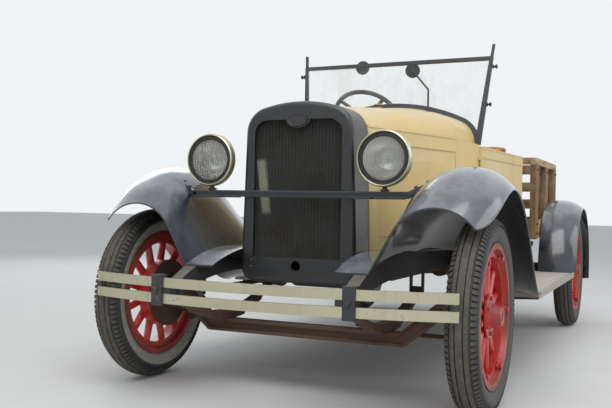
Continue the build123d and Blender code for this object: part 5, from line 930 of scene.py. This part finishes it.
@dataclass
class WheelFittings:
    """Bolts, rim clamps and the brass nut of each wooden wheel."""

    flange_face: float = 0.030
    bolt_circle: float = 0.067
    bolts: int = 6
    clamp_circle: float = 0.243
    clamps: int = 6
    felloe_face: float = 0.030
    nose: float = 0.076
    nut_radius: float = 0.0285

    def model(self) -> dict[str, Object]:
        """Model one wheel's fittings at the origin, facing +X."""
        angles = [math.tau * (step + 0.5) / self.bolts for step in range(self.bolts)]
        places = [turn_to(ACROSS, (self.flange_face, self.bolt_circle * math.cos(angle),
                                   self.bolt_circle * math.sin(angle)))
                  for angle in angles]
        flange = spread(bolt_head(0.009, 0.008), places, "flange_bolts")
        clamp = block("clamp", (self.felloe_face - 0.002, -0.014, self.clamp_circle - 0.012),
                      (self.felloe_face + 0.011, 0.014, self.clamp_circle + 0.022), 0.004)
        head = spread(bolt_head(0.0105, 0.012),
                      [turn_to(ACROSS, (self.felloe_face + 0.010, 0, self.clamp_circle))], "clamp_head")
        wedge = joined([clamp, head], "rim_clamps")
        turns = [Matrix.Rotation(math.tau * (step + 0.5) / self.clamps, 4, "X")
                 for step in range(self.clamps)]
        clamps = spread(wedge, turns, "rim_clamps")
        nut = turned("hub_nut", [(self.nose - 0.016, 0.0215), (self.nose - 0.001, 0.0215),
                                 (self.nose + 0.0005, 0.0235), (self.nose + 0.0005, 0.0265),
                                 (self.nose - 0.001, self.nut_radius), (self.nose - 0.016, self.nut_radius),
                                 (self.nose - 0.016, 0.0215)],
                     ACROSS, Vector())
        with shaping(nut):
            choose(nut, lambda middle, normal: normal.x > 0.9 and sector(middle.z, middle.y, 12) % 2 == 0)
            bpy.ops.mesh.extrude_region_move(TRANSFORM_OT_translate={"value": (-0.004, 0, 0)})
        bell = turned("hub_bell", [(self.flange_face - 0.001, 0.0535), (self.flange_face + 0.002, 0.052),
                                   (self.flange_face + 0.009, 0.0435), (self.flange_face + 0.018, 0.0385),
                                   (self.flange_face + 0.03, 0.0368), (self.flange_face + 0.03, 0.03),
                                   (self.flange_face - 0.001, 0.03), (self.flange_face - 0.001, 0.0535)],
                      ACROSS, Vector())
        return {"flange_bolts": flange, "rim_clamps": clamps, "hub_nut": nut, "hub_bell": bell}

    def build(self) -> None:
        """Fit the fittings to each wheel."""
        sources = self.model()
        finishes = {"hub_nut": BRASS}
        for axle, centre in (("front", FRONT_AXLE), ("rear", REAR_AXLE)):
            paint = WheelPaint(f"wheel_enamel_{axle}", centre)
            for side in Side:
                tail = f"{axle}_{side.name.lower()}"
                place = Matrix.Translation((side.value * centre.x, centre.y, centre.z))
                if side is Side.RIGHT:
                    place = place @ Matrix.Rotation(math.pi, 4, "Z")
                dress(frame["nodes"][f"wheel_{tail}"], paint)
                for kind, source in sources.items():
                    deliver(twin_of(source, f"{kind}_{tail}", place), finishes.get(kind, paint),
                            f"wheel_{tail}")
        for source in sources.values():
            bpy.data.objects.remove(source)


# Front of the car


@dataclass
class RadiatorFront:
    """Mesh, tank rivets and boss ring of the radiator."""

    mesh_y: float = aft(-0.0625)
    half_width: float = 0.207
    bottom: float = 0.573
    top: float = 1.15
    cell: float = 0.0066
    lean: float = 1.25
    wire: float = 0.0012
    boss_z: float = 1.146
    face: float = -0.085
    sheet: float = 0.74

    def build_mesh(self) -> None:
        """Weave the diamond mesh behind the shell's mouth."""
        middle = Vector((0, self.mesh_y, (self.bottom + self.top) / 2))
        count = int(self.sheet / self.cell)
        bpy.ops.object.select_all(action="DESELECT")
        bpy.ops.mesh.primitive_grid_add(x_subdivisions=count, y_subdivisions=count, size=self.sheet,
                                        location=middle, rotation=(math.pi / 2, math.pi / 4, 0))
        mesh = set_down(bpy.context.active_object)
        mesh.name = "radiator_mesh"
        with shaping(mesh):
            bpy.ops.mesh.select_all(action="SELECT")
            bpy.ops.transform.resize(value=(self.lean, 1, 1 / self.lean), center_override=middle)
            cuts = (((self.half_width, 0, 0), (1, 0, 0)), ((-self.half_width, 0, 0), (-1, 0, 0)),
                    ((0, 0, self.top), (0, 0, 1)), ((0, 0, self.bottom), (0, 0, -1)))
            for place, normal in cuts:
                bpy.ops.mesh.select_all(action="SELECT")
                bpy.ops.mesh.bisect(plane_co=place, plane_no=normal, clear_outer=True)
        modify(mesh, "WIREFRAME", thickness=self.wire * 2, use_boundary=True, use_even_offset=False)
        deliver(mesh, MeshWire("radiator_wire"), "body", math.radians(20))

    def build_trim(self) -> None:
        """Put the rivets on the tank panel and the ring round the bare boss."""
        rivets = [turn_to(FORWARD, (x, aft(self.face), z)) for x in (-0.208, 0.208) for z in (0.528, 0.556)]
        head = turned("rivet", [(0.003, 0.0), (0.0026, 0.003), (0.0, 0.0055)], UP, Vector(), 12)
        deliver(spread(head, rivets, "tank_rivets"), RUSTY, "body")
        ring = turned("boss_ring", [(0.0, 0.0), (0.0035, 0.0), (0.0035, 0.8), (0.006, 0.86), (0.006, 0.94),
                                    (0.001, 1.0), (0.0, 1.0)], FORWARD, Vector())
        ring.data.transform(Matrix.Translation((0, aft(self.face), self.boss_z - 0.002)) @ Matrix.Diagonal(
            (0.048, 1, 0.028, 1)))
        deliver(ring, SHELL, "body")

    def build(self) -> None:
        """Build the mesh and the trim."""
        self.build_mesh()
        self.build_trim()


@dataclass
class Headlamps:
    """Two drum lamps: nickel rim, dark bowl, reflector, bulb and ribbed glass."""

    spread_x: float = 0.392
    height: float = 0.979
    face: float = -0.140
    depth: float = 0.135
    rim_radius: float = 0.113
    lens_radius: float = 0.088
    stud_foot: float = 0.8503

    def profiles(self) -> dict[str, tuple[Any, str, list[tuple[float, float]]]]:
        """Give each turned piece's finish, slot and profile, back from the lamp's face."""
        rim, lens = self.rim_radius, self.lens_radius
        return {
            "lamp_rim": (NICKEL, "bright_bar", [
                (0.006, 0.104), (0.001, 0.1045), (0.0, 0.1065), (0.0015, 0.1095), (0.007, 0.112),
                (0.018, rim), (0.032, rim), (0.034, rim - 0.002), (0.034, 0.1075), (0.012, 0.1055),
                (0.006, 0.104)]),
            "lamp_gasket": (STRIP, "dark_enamel", [
                (0.014, lens - 0.002), (0.0085, lens - 0.002), (0.0055, lens), (0.005, 0.094),
                (0.0065, 0.0955), (0.0065, 0.0985), (0.0045, 0.1), (0.006, 0.1042), (0.014, 0.1042),
                (0.014, lens - 0.002)]),
            "lamp_bowl": (FENDER, "dark_enamel", [
                (0.03, 0.104), (0.035, 0.1045), (0.055, 0.1), (0.08, 0.086), (0.105, 0.064), (0.122, 0.038),
                (self.depth, 0.0), (self.depth - 0.006, 0.0), (0.118, 0.034), (0.1, 0.06), (0.076, 0.082),
                (0.052, 0.096), (0.03, 0.104)]),
            "lamp_reflector": (REFLECTOR, "bright_bar", [
                (0.014, 0.0895), (0.03, 0.085), (0.055, 0.073), (0.08, 0.052), (0.095, 0.025), (0.1, 0.0),
                (0.103, 0.0), (0.098, 0.026), (0.083, 0.054), (0.058, 0.076), (0.032, 0.088),
                (0.014, 0.0895)]),
            "lamp_bulb": (Pane("bulb_glass"), "clear_glass", [
                (0.046, 0.0), (0.048, 0.008), (0.054, 0.0135), (0.062, 0.0155), (0.07, 0.013), (0.078, 0.008),
                (0.094, 0.0075), (0.094, 0.0)]),
            "lamp_glass": (Pane("lamp_glass", tint=(0.93, 0.95, 0.94), film=(0.6, 0.58, 0.52),
                                film_share=0.42, ribs=38.0), "clear_glass", [
                (0.0005, 0.0), (0.0012, 0.03), (0.0032, 0.06), (0.0065, lens - 0.003), (0.0095, lens - 0.003),
                (0.0065, 0.06), (0.0045, 0.03), (0.0038, 0.0)]),
        }

    def build(self) -> None:
        """Build both lamps in place of their plain solids."""
        for side in Side:
            centre = Vector((side.value * self.spread_x, aft(self.face), self.height))
            for name, (finish, slot, profile) in self.profiles().items():
                piece = turned(f"{name}_{side.name.lower()}", profile, BACK, centre, 64)
                deliver(piece, finish, "body", math.radians(50))
                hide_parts("headlamp_lenses" if name == "lamp_glass" else "headlamps")
            stud_place = Vector((centre.x, LAMP_BAR_Y, 0))
            stud = turned(f"lamp_stud_{side.name.lower()}", [
                (self.stud_foot, 0.0), (self.stud_foot, 0.017), (self.stud_foot + 0.006, 0.018),
                (self.stud_foot + 0.01, 0.0095), (0.868, 0.009), (0.874, 0.02), (0.884, 0.026), (0.892, 0.0)],
                UP, stud_place, 24)
            deliver(stud, RUSTY, "body")
            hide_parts("headlamps")


@dataclass
class LampBar:
    """The channel bar between the fenders, with its stepped plates and bolted ends."""

    top: float = 0.8497
    height: float = 0.028
    depth: float = 0.020
    lip: float = 0.0065
    middle_y: float = LAMP_BAR_Y
    bend_x: float = 0.490
    reach: Vector = Vector((0.090, 0.048, 0.0475))
    plates: tuple[tuple[float, float], ...] = ((0.255, 0.350), (0.335, 0.475))

    def channel(self) -> Object:
        """Model the bar: a rounded beam with upturned ends and a groove along its face."""
        face = self.middle_y - self.depth / 2
        low = (-self.bend_x, face, self.top - self.height)
        bar = block("lamp_channel", low, (self.bend_x, face + self.depth, self.top), 0.0015)
        with shaping(bar):
            for side in Side:
                choose(bar, lambda middle, normal: abs(middle.x - side.value * self.bend_x) < 0.003)
                shift = Vector((side.value * self.reach.x, self.reach.y, self.reach.z))
                bpy.ops.mesh.extrude_region_move(TRANSFORM_OT_translate={"value": shift})
            choose(bar, lambda middle, normal: normal.y < -0.98 and abs(middle.x) < 0.1)
            bpy.ops.mesh.inset(thickness=self.lip - 0.0015)
            bpy.ops.mesh.extrude_region_move(TRANSFORM_OT_translate={"value": (0, self.depth * 0.7, 0)})
        return bar

    def build(self) -> None:
        """Build the bar, its plates and its bolts in place of the plain rod."""
        face = self.middle_y - self.depth / 2
        pieces, heads = [self.channel()], []
        for side in Side:
            for low_x, high_x in self.plates:
                ends = sorted((side.value * low_x, side.value * high_x))
                pieces.append(block("bar_plate", (ends[0], face - 0.003, self.top - self.height - 0.003),
                                    (ends[1], face + self.depth, self.top - self.height + 0.004), 0.001))
            along = Vector((side.value * self.reach.x, 0, self.reach.z)).normalized()
            up = Vector((-side.value * along.z, 0, abs(along.x)))
            for share in (0.3, 0.75):
                place = Vector((side.value * (self.bend_x + share * self.reach.x),
                                self.middle_y + share * self.reach.y,
                                self.top + share * self.reach.z - 0.001))
                heads.append(turn_to(up, place))
        bar = deliver(joined(pieces, "lamp_channel"), BAR_ENAMEL, "body")
        bolts = deliver(spread(bolt_head(0.0085, 0.009), heads, "lamp_bar_bolts"), BAR_ENAMEL, "body")
        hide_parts("lamp_bar")
        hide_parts("lamp_bar")


@dataclass
class BodyTrim:
    """Rubber round the cowl, filler cap, board edges, mirror glasses, screen knobs and bumper bolts."""

    board_outer: float = 0.842
    board_top: float = 0.393
    board_bottom: float = 0.364
    board_front: float = aft(0.892)
    board_rear: float = aft(2.268)
    proud: float = 0.0012
    cap_place: Vector = Vector((-0.037, aft(1.000), 0.0))
    cap_radius: float = 0.0276
    hung_rail: Vector = Vector((-0.199, aft(1.150), 1.580))
    rake: float = math.atan2(0.088, 0.459)
    hung_depth: float = 0.034
    stalk_mirror: Vector = Vector((0.126, aft(1.082), 1.526))
    mirror_radius: float = 0.0394
    clamp_x: float = 0.400
    clamp_z: float = 0.452
    link_x: float = 0.750
    link_back: float = 0.119
    post_foot: Vector = Vector((0.487, aft(1.062), 1.121))
    post_corner: Vector = Vector((0.532, aft(1.150), 1.580))

    def build_rubber(self) -> None:
        """Lay the rubber strip round the cowl's rear edge."""
        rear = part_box("cowl")[1].y

        def is_rim(edge: bmesh.types.BMEdge) -> bool:
            """Tell whether an edge is on the dome's outer rear rim."""
            first, second = (vert.co for vert in edge.verts)
            if min(first.y, second.y) < rear - 0.001 or min(first.z, second.z) < 1.112:
                return False
            return any(face.normal.y < 0.5
                       and face.normal.dot((first + second) / 2 - Vector((0, first.y, 1.0))) > 0
                       for face in edge.link_faces)

        strip = edge_bead("cowl_rubber", "cowl", 0.007, is_rim)
        deliver(strip, STRIP, "body")

    def build_cap(self) -> None:
        """Put the milled rusty cap on the cowl's filler."""
        near = [vert.co for vert in frame["nodes"]["cowl"].data.vertices
                if math.hypot(vert.co.x - self.cap_place.x, vert.co.y - self.cap_place.y) < self.cap_radius]
        top = max(point.z for point in near)
        radius = self.cap_radius
        cap = turned("filler_cap", [(-0.0165, radius - 0.0005), (-0.0165, radius + 0.0004),
                                    (-0.006, radius + 0.0004), (-0.0018, radius - 0.0018),
                                    (0.0006, radius - 0.007), (0.0008, 0.012), (0.0024, 0.009),
                                    (0.0026, 0.0)],
                     UP, (self.cap_place.x, self.cap_place.y, top), 72)
        with shaping(cap):
            choose(cap, lambda middle, normal: abs(normal.z) < 0.2 and middle.z < top - 0.006
                   and sector(middle.y - self.cap_place.y, middle.x - self.cap_place.x, 72) % 2 == 0)
            bpy.ops.mesh.extrude_region_shrink_fatten(TRANSFORM_OT_shrink_fatten={"value": 0.0012})
        deliver(cap, RUSTY, "body")

    def build_boards(self) -> None:
        """Cap the running boards' outer edges with pale metal."""
        strips = []
        for side in Side:
            for low_z, high_z, width in (
                (self.board_top - 0.007, self.board_top + self.proud, 0.0135),
                (self.board_bottom + 0.003, self.board_bottom + 0.011, 0.003),
            ):
                ends = sorted((side.value * (self.board_outer + self.proud),
                               side.value * (self.board_outer - width)))
                strips.append(block("board_edge", (ends[0], self.board_front, low_z),
                                    (ends[1], self.board_rear, high_z), 0.0012))
        deliver(joined(strips, "board_edges"), PALE_METAL, "body")

    def build_mirrors(self) -> None:
        """Set a glass and its bezel in the back of each mirror."""
        back = Vector((0, math.cos(self.rake), -math.sin(self.rake)))
        radius = self.mirror_radius
        for name, centre, along in (("hung", self.hung_rail + back * self.hung_depth, back),
                                    ("stalk", self.stalk_mirror, BACK)):
            glass = turned(f"mirror_glass_{name}",
                           [(0.0004, 0.0), (0.0004, radius - 0.004), (-0.0005, radius - 0.003)],
                           along, centre)
            deliver(glass, MIRROR, "body")
            bezel = turned(f"mirror_bezel_{name}", [(-0.006, radius - 0.001), (-0.006, radius),
                                                    (0.0006, radius), (0.0018, radius - 0.002),
                                                    (0.0012, radius - 0.0042), (-0.0002, radius - 0.0045),
                                                    (-0.006, radius - 0.001)],
                           along, centre)
            deliver(bezel, SCREEN, "body")

    def build_bolts(self) -> None:
        """Bolt the bumper's clamps and put knobs on the windscreen's posts."""
        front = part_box("bumper_brackets")[0].y
        heads = [turn_to(FORWARD, (side.value * self.clamp_x, front + 0.0005, self.clamp_z)) for side in Side]
        deliver(spread(bolt_head(0.0095, 0.008), heads, "clamp_bolts"), SCREEN, "body")
        sleeve = turned("link_sleeve", [(0.4396, 0.0), (0.4396, 0.0105), (0.4622, 0.0105), (0.4622, 0.0)],
                        UP, Vector(), 20)
        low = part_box("bumper_bars")[0]
        places = [Matrix.Translation((side.value * self.link_x, low.y + self.link_back, 0)) for side in Side]
        deliver(spread(sleeve, places, "link_sleeves"), SCREEN, "body")
        knob = turned("screen_knob", [(0.0, 0.0), (0.0, 0.011), (0.003, 0.012), (0.004, 0.006),
                                      (0.013, 0.006), (0.015, 0.011), (0.021, 0.0115), (0.024, 0.008),
                                      (0.025, 0.0)],
                      UP, Vector(), 24)
        places = []
        for side in Side:
            for share in (0.46, 0.9):
                place = self.post_foot.lerp(self.post_corner, share)
                outward = Vector((side.value, 0, 0))
                places.append(turn_to(outward, (side.value * (place.x + 0.0145), place.y, place.z)))
        deliver(spread(knob, places, "screen_knobs"), SCREEN, "body")

    def build(self) -> None:
        """Build every trim piece."""
        self.build_rubber()
        self.build_cap()
        self.build_boards()
        self.build_mirrors()
        self.build_bolts()


# Upholstery


@dataclass
class Upholstery:
    """The bench seat's leather cushion and back, filled by a cloth simulation and pleated."""

    voxel: float = 0.008
    inset: float = 0.965
    pressure: float = 4.0
    frames: int = 20
    cap: float = 0.024
    pleat_pitch: float = 0.098
    pleat_depth: float = 0.009
    pleat_width: float = 0.009
    pleat_edge: float = 0.3

    def fill(self, node: str, name: str) -> Object:
        """Swell a copy of a soft solid.

        Args:
            node: The CAD solid that the pad stands for.
            name: The pad's name.

        Returns:
            The swollen pad.
        """
        pad = twin_of(frame["nodes"][node], name)
        low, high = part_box(node)
        with shaping(pad):
            bpy.ops.mesh.select_all(action="SELECT")
            bpy.ops.mesh.remove_doubles(threshold=WELD)
            bpy.ops.transform.resize(value=(self.inset + 0.02, self.inset, self.inset),
                                     center_override=(low + high) / 2)
        modify(pad, "REMESH", mode="VOXEL", voxel_size=self.voxel)
        self.simulate(pad)
        modify(pad, "SUBSURF", levels=1, render_levels=1)
        return pad

    def simulate(self, pad: Object) -> None:
        """Blow a pad up against its own cover, then hold each point near its start."""
        start = [vert.co.copy() for vert in pad.data.vertices]
        cloth = pad.modifiers.new("filling", "CLOTH")
        cloth.settings.use_pressure = True
        cloth.settings.uniform_pressure_force = self.pressure
        cloth.settings.effector_weights.gravity = 0.0
        cloth.settings.quality = 5
        scene = bpy.context.scene
        for step in range(1, self.frames + 1):
            scene.frame_set(step)
        settled = pad.evaluated_get(bpy.context.evaluated_depsgraph_get())
        moved = [vert.co.copy() for vert in settled.data.vertices]
        pad.modifiers.remove(cloth)
        scene.frame_set(1)
        for vert, old, new in zip(pad.data.vertices, start, moved):
            step_vector = new - old
            if step_vector.length > self.cap:
                step_vector = step_vector.normalized() * self.cap
            vert.co = old + step_vector

    def pleat(self, pad: Object, facing: Vector) -> None:
        """Press sewn channels into the side of a pad that faces the sitter.

        Args:
            pad: The swollen pad.
            facing: Where the pleated side faces.
        """
        facing = facing.normalized()
        shares = [max(0.0, vert.normal.dot(facing)) for vert in pad.data.vertices]
        for vert, share in zip(pad.data.vertices, shares):
            if share < self.pleat_edge:
                continue
            across = (vert.co.x / self.pleat_pitch) % 1.0
            valley = math.exp(-((min(across, 1 - across) * self.pleat_pitch) / self.pleat_width) ** 2)
            vert.co -= facing * self.pleat_depth * valley * min(1.0, (share - self.pleat_edge) * 3)

    def build(self) -> None:
        """Build both pads in place of their plain solids."""
        leather = Leather("seat_leather")
        for node, name, facing, fill in (
            ("seat_cushion", "padded_cushion", UP, 0.55),
            ("seat_back", "padded_back", Vector((0, -1, 0.1)), 0.5),
        ):
            pad = self.fill(node, name)
            self.pleat(pad, facing)
            deliver(pad, leather, "body", math.radians(60))
            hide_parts(node)


# Stake bed


@dataclass
class StakeBed:
    """Boards, stakes, rails and bolts of the wooden load bed."""

    front: float = 2.150
    rear: float = 3.060
    half_width: float = 0.618
    floor_bottom: float = 0.640
    floor_top: float = 0.666
    top: float = 1.120
    foot: float = 0.600
    stake_width: float = 0.105
    stake_thickness: float = 0.040
    stakes: tuple[float, ...] = (2.204, 2.605, 3.006)
    bolsters: tuple[float, ...] = (2.206, 2.603, 3.0)
    bolster_width: float = 0.060
    board_bottom: float = 0.607
    board_height: float = 0.118
    board_thickness: float = 0.024
    rail_height: float = 0.044
    planks: int = 9
    gap: float = 0.003
    slats: int = 4
    slat_height: float = 0.070
    slat_thickness: float = 0.013
    hinge_x: float = 0.4

    def boards(self, name: str, rows: Sequence[tuple[Vector, Vector]], grain: Grain, body: str = "body",
               **tones: Colour) -> Object:
        """Model several boards of one grain as a piece.

        Args:
            name: The piece's name.
            rows: Lowest and highest corner of each board.
            grain: Which way their grain runs.
            body: The body that they ride on.
            **tones: Timber colours that differ from the usual ones.

        Returns:
            The piece.
        """
        pieces = [block(name, low, high, 0.0025) for low, high in rows]
        for index, piece in enumerate(pieces):
            with shaping(piece):
                bpy.ops.mesh.select_all(action="SELECT")
                bpy.ops.transform.translate(value=(0, 0, 0.0008 * math.sin(index * 2.4)))
        return deliver(joined(pieces, name), Timber(name, grain, **tones), body)

    def build_sides(self) -> Sequence[Object]:
        """Model the stakes and the rails and boards that they carry."""
        inner = self.half_width - self.stake_thickness
        uprights, lengthways, bolts = [], [], []
        for side in Side:
            near, far = sorted((side.value * inner, side.value * self.half_width))
            middle = side.value * (inner + self.stake_thickness / 2)
            for place in self.stakes:
                half = self.stake_width / 2
                uprights.append(((near, aft(place - half), self.foot),
                                 (far, aft(place + half), self.top - self.rail_height)))
                for height in (self.board_bottom + 0.03, self.board_bottom + 0.09,
                               self.top - self.rail_height - 0.03):
                    for shift in (-0.025, 0.025):
                        bolts.append(turn_to(Vector((side.value, 0, 0)),
                                             (side.value * self.half_width, aft(place + shift), height)))
            lengthways.append(((near, aft(self.front), self.top - self.rail_height),
                               (far, aft(self.rear), self.top)))
            thin_low, thin_high = middle - self.board_thickness / 2, middle + self.board_thickness / 2
            half_height = self.board_height / 2
            for step in range(2):
                low_z = self.board_bottom + step * half_height
                edges = [self.front] + [place + sign * self.stake_width / 2 for place in self.stakes
                                        for sign in (-1, 1)] + [self.rear]
                for start, end in zip(edges[::2], edges[1::2]):
                    if end - start > 0.01:
                        lengthways.append(((thin_low, aft(start), low_z + self.gap / 2),
                                           (thin_high, aft(end), low_z + half_height - self.gap / 2)))
        stakes = self.boards("rack_stakes", uprights, Grain.UPRIGHT)
        rails = self.boards("rack_rails", lengthways, Grain.ALONG_Y, light=(0.5, 0.38, 0.21),
                            dark=(0.22, 0.14, 0.065), silver=(0.52, 0.44, 0.29))
        heads = deliver(spread(bolt_head(0.007, 0.005), bolts, "rack_bolts"), RUSTY, "body")
        return stakes, rails, heads

    def build_front(self) -> Object:
        """Model the boards across the bed's front."""
        inner = self.half_width - self.stake_thickness - 0.001
        y_low, y_high = aft(self.front), aft(self.front) + self.board_thickness
        rows = [((-inner, y_low, self.top - self.rail_height), (inner, y_high, self.top))]
        for step in range(2):
            start = self.board_bottom + step * self.board_height / 2
            rows.append(((-inner, y_low, start), (inner, y_high, start + self.board_height / 2 - self.gap)))
        return self.boards("rack_front", rows, Grain.ALONG_X)

    def build_floor(self) -> None:
        """Model the floor planks on their bolsters."""
        inner = self.half_width - self.stake_thickness - 0.0003
        pitch = 2 * inner / self.planks
        start = self.front + self.board_thickness + 0.0003
        planks = [((-inner + step * pitch, aft(start), self.floor_bottom),
                   (-inner + (step + 1) * pitch - self.gap, aft(self.rear), self.floor_top))
                  for step in range(self.planks)]
        self.boards("floor_planks", planks, Grain.ALONG_Y, light=(0.36, 0.28, 0.19))
        beams = [((-inner, aft(place - self.bolster_width / 2), self.foot + 0.0003),
                  (inner, aft(place + self.bolster_width / 2), self.floor_bottom)) for place in self.bolsters]
        self.boards("bolsters", beams, Grain.ALONG_X)

    def build_tail(self) -> None:
        """Dress the tail rack with its own boards."""
        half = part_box("tail_rack")[1].x
        pitch = (self.top - self.floor_top - self.slat_height) / (self.slats - 1)
        y_low = aft(self.rear) + 0.006
        feet = [self.floor_top + step * pitch for step in range(self.slats)]
        rows = [((-half, y_low, foot), (half, y_low + self.slat_thickness, foot + self.slat_height))
                for foot in feet]
        across = self.boards("tail_slats", rows, Grain.ALONG_X, "tail_rack")
        posts = [((x - self.stake_width / 2, y_low + self.slat_thickness, self.floor_top),
                  (x + self.stake_width / 2, y_low + 2 * self.slat_thickness, self.top))
                 for x in (-half + self.stake_width / 2, 0.0, half - self.stake_width / 2)]
        upright = self.boards("tail_posts", posts, Grain.UPRIGHT, "tail_rack")
        hinges = [((sign * self.hinge_x - 0.015, y_low + 0.002, 0.6435),
                   (sign * self.hinge_x + 0.015, y_low + 0.024, 0.6665))
                  for sign in (-1, 1)]
        knuckles = joined([block("tail_knuckles", low, high, 0.006) for low, high in hinges], "tail_knuckles")
        deliver(knuckles, RUSTY, "tail_rack")
        for piece in (across, upright, knuckles):
            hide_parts("tail_rack")

    def build(self) -> None:
        """Build the bed in place of its plain solids."""
        for piece in (*self.build_sides(), self.build_front()):
            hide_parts("bed_rack")
        self.build_tail()
        self.build_floor()


# Studio


@dataclass(frozen=True)
class PhotoCamera:
    """The photograph's viewpoint, fitted to the car's own lines."""

    place: Vector = Vector((1.4231, -4.4112, 0.7902))
    heading: float = math.radians(24.8)
    pitch: float = math.radians(0.1)
    roll: float = math.radians(1.0)
    focal_pixels: float = 800.4

    def build(self) -> None:
        """Create the scene's camera."""
        ahead = Vector((-math.sin(self.heading), math.cos(self.heading), math.sin(self.pitch))).normalized()
        right = Vector((math.cos(self.heading), math.sin(self.heading), math.sin(self.roll))).normalized()
        up = right.cross(ahead).normalized()
        right = ahead.cross(up)
        camera = bpy.data.objects.new("photo_camera", bpy.data.cameras.new("photo_camera"))
        camera.data.sensor_width = SENSOR_WIDTH
        camera.data.lens = self.focal_pixels / IMAGE_WIDTH * SENSOR_WIDTH
        turn = Matrix((right, up, -ahead)).transposed().to_4x4()
        camera.matrix_world = Matrix.Translation(self.place) @ turn
        bpy.context.scene.collection.objects.link(camera)
        bpy.context.scene.camera = camera


@dataclass
class Studio:
    """Pale floor, soft light and a pale background."""

    floor_size: float = 80.0
    floor_colour: Colour = (0.68, 0.675, 0.66)
    background: Colour = (0.88, 0.9, 0.92)
    light: Colour = (0.9, 0.95, 1.0)
    light_strength: float = 0.62

    def build_floor(self) -> None:
        """Lay the floor."""
        bpy.ops.object.select_all(action="DESELECT")
        bpy.ops.mesh.primitive_plane_add(size=self.floor_size, location=(0, 0, 0))
        floor = set_down(bpy.context.active_object)
        floor.name = "studio_floor"
        with shaping(floor):
            bpy.ops.mesh.select_all(action="SELECT")
            bpy.ops.mesh.subdivide(number_cuts=4)
        shader = Shader("studio_floor")
        grain = shader.noise(1.5, detail=3)
        colour = shader.blend(shader.band(grain, 0.3, 0.7), self.floor_colour,
                              tuple(0.97 * v for v in self.floor_colour))
        floor.data.materials.append(shader.surface({"Base Color": colour, "Roughness": 0.9}))

    def build_world(self) -> None:
        """Light the car softly from all round, over a pale background."""
        world = bpy.data.worlds.new("studio")
        bpy.context.scene.world = world
        world.use_nodes = True
        tree = world.node_tree
        tree.nodes.clear()
        paths = tree.nodes.new("ShaderNodeLightPath")
        seen = tree.nodes.new("ShaderNodeMath")
        seen.operation = "MAXIMUM"
        tree.links.new(paths.outputs["Is Camera Ray"], seen.inputs[0])
        mirrored = tree.nodes.new("ShaderNodeMath")
        mirrored.operation = "MAXIMUM"
        tree.links.new(paths.outputs["Is Glossy Ray"], mirrored.inputs[0])
        tree.links.new(paths.outputs["Is Transmission Ray"], mirrored.inputs[1])
        tree.links.new(mirrored.outputs[0], seen.inputs[1])
        shown = tree.nodes.new("ShaderNodeBackground")
        shown.inputs[0].default_value = opaque(self.background)
        shown.inputs[1].default_value = 1.0
        lit = tree.nodes.new("ShaderNodeBackground")
        lit.inputs[0].default_value = opaque(self.light)
        lit.inputs[1].default_value = self.light_strength
        mixed = tree.nodes.new("ShaderNodeMixShader")
        tree.links.new(seen.outputs[0], mixed.inputs[0])
        tree.links.new(lit.outputs[0], mixed.inputs[1])
        tree.links.new(shown.outputs[0], mixed.inputs[2])
        output = tree.nodes.new("ShaderNodeOutputWorld")
        tree.links.new(mixed.outputs[0], output.inputs[0])

    def build_lamps(self) -> None:
        """Hang the soft boxes."""
        rows = (
            # name, place, aim, width, power
            ("overhead_box", Vector((1.5, -3.5, 5.5)), Vector((0, 0, 0.8)), 5.0, 210.0),
            ("side_box", Vector((6.0, 1.0, 3.5)), Vector((0, 0, 0.7)), 4.0, 90.0),
            ("back_box", Vector((-5.0, 4.0, 4.0)), Vector((0, 0, 0.7)), 4.0, 80.0),
        )
        for name, place, aim, width, power in rows:
            lamp = bpy.data.objects.new(name, bpy.data.lights.new(name, "AREA"))
            lamp.data.size = width
            lamp.data.energy = power
            turn = (aim - place).to_track_quat("-Z", "Y").to_matrix().to_4x4()
            lamp.matrix_world = Matrix.Translation(place) @ turn
            bpy.context.scene.collection.objects.link(lamp)

    def build(self) -> None:
        """Build the whole studio."""
        self.build_floor()
        self.build_world()
        self.build_lamps()
        bpy.context.scene.view_settings.view_transform = "Standard"


NODE_FINISHES: dict[str, Any] = {
    "chassis_frame": FRAME_STEEL, "front_axle": RUSTY, "springs": RUSTY, "rear_axle": FRAME_STEEL,
    "engine_and_gearbox": IRON, "exhaust": RUSTY, "radiator_shell": SHELL, "radiator_core": DARK_CORE,
    "bonnet_top": CREAM, "bonnet_sides": CREAM, "lamp_bar": SHELL, "headlamps": FENDER,
    "headlamp_lenses": Pane("plain_glass"), "bumper_bars": NICKEL, "bumper_brackets": SCREEN, "cowl": CREAM,
    "cab_floor": BOARD, "cab_body": CREAM, "dashboard": DASH_GREY, "windscreen_frame": SCREEN,
    "windscreen_glass": Pane("screen_glass", film_share=0.14), "mirrors": SCREEN,
    "steering_column": RIM_BLACK, "front_fenders": FENDER, "rear_fenders": FENDER, "running_boards": BOARD,
    "bed_floor": Timber("bed_bearers", Grain.ALONG_X),
    "bed_rack": Timber("plain_rack", Grain.ALONG_Y), "tail_rack": Timber("plain_tail", Grain.ALONG_X),
    "knuckle_left": RUSTY, "knuckle_right": RUSTY, "tie_rod": RUSTY, "drag_link": RUSTY, "pitman_arm": RUSTY,
    "steering_wheel": RIM_BLACK, "door_left": CREAM, "door_right": CREAM,
    "seat_cushion": Leather("plain_leather"), "seat_back": Leather("plain_leather"), "controls": LEVER_STEEL,
}


def dress_nodes() -> None:
    """Give every carried-over CAD node its finish."""
    for name, finish in NODE_FINISHES.items():
        dress(frame["nodes"][name], finish)


def main() -> None:
    """Build the looks in order and log each builder once it is built."""
    logging.basicConfig(level=logging.INFO, format="%(name)s at %(relativeCreated)d ms: %(message)s")
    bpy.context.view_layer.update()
    dress_nodes()
    builders = (Tyres(), WheelFittings(), RadiatorFront(), Headlamps(), LampBar(), BodyTrim(), Upholstery(),
                StakeBed(), PhotoCamera(), Studio())
    for builder in builders:
        builder.build()
        LOG.info("built %s", type(builder).__name__)


if __name__ == "__main__":
    main()
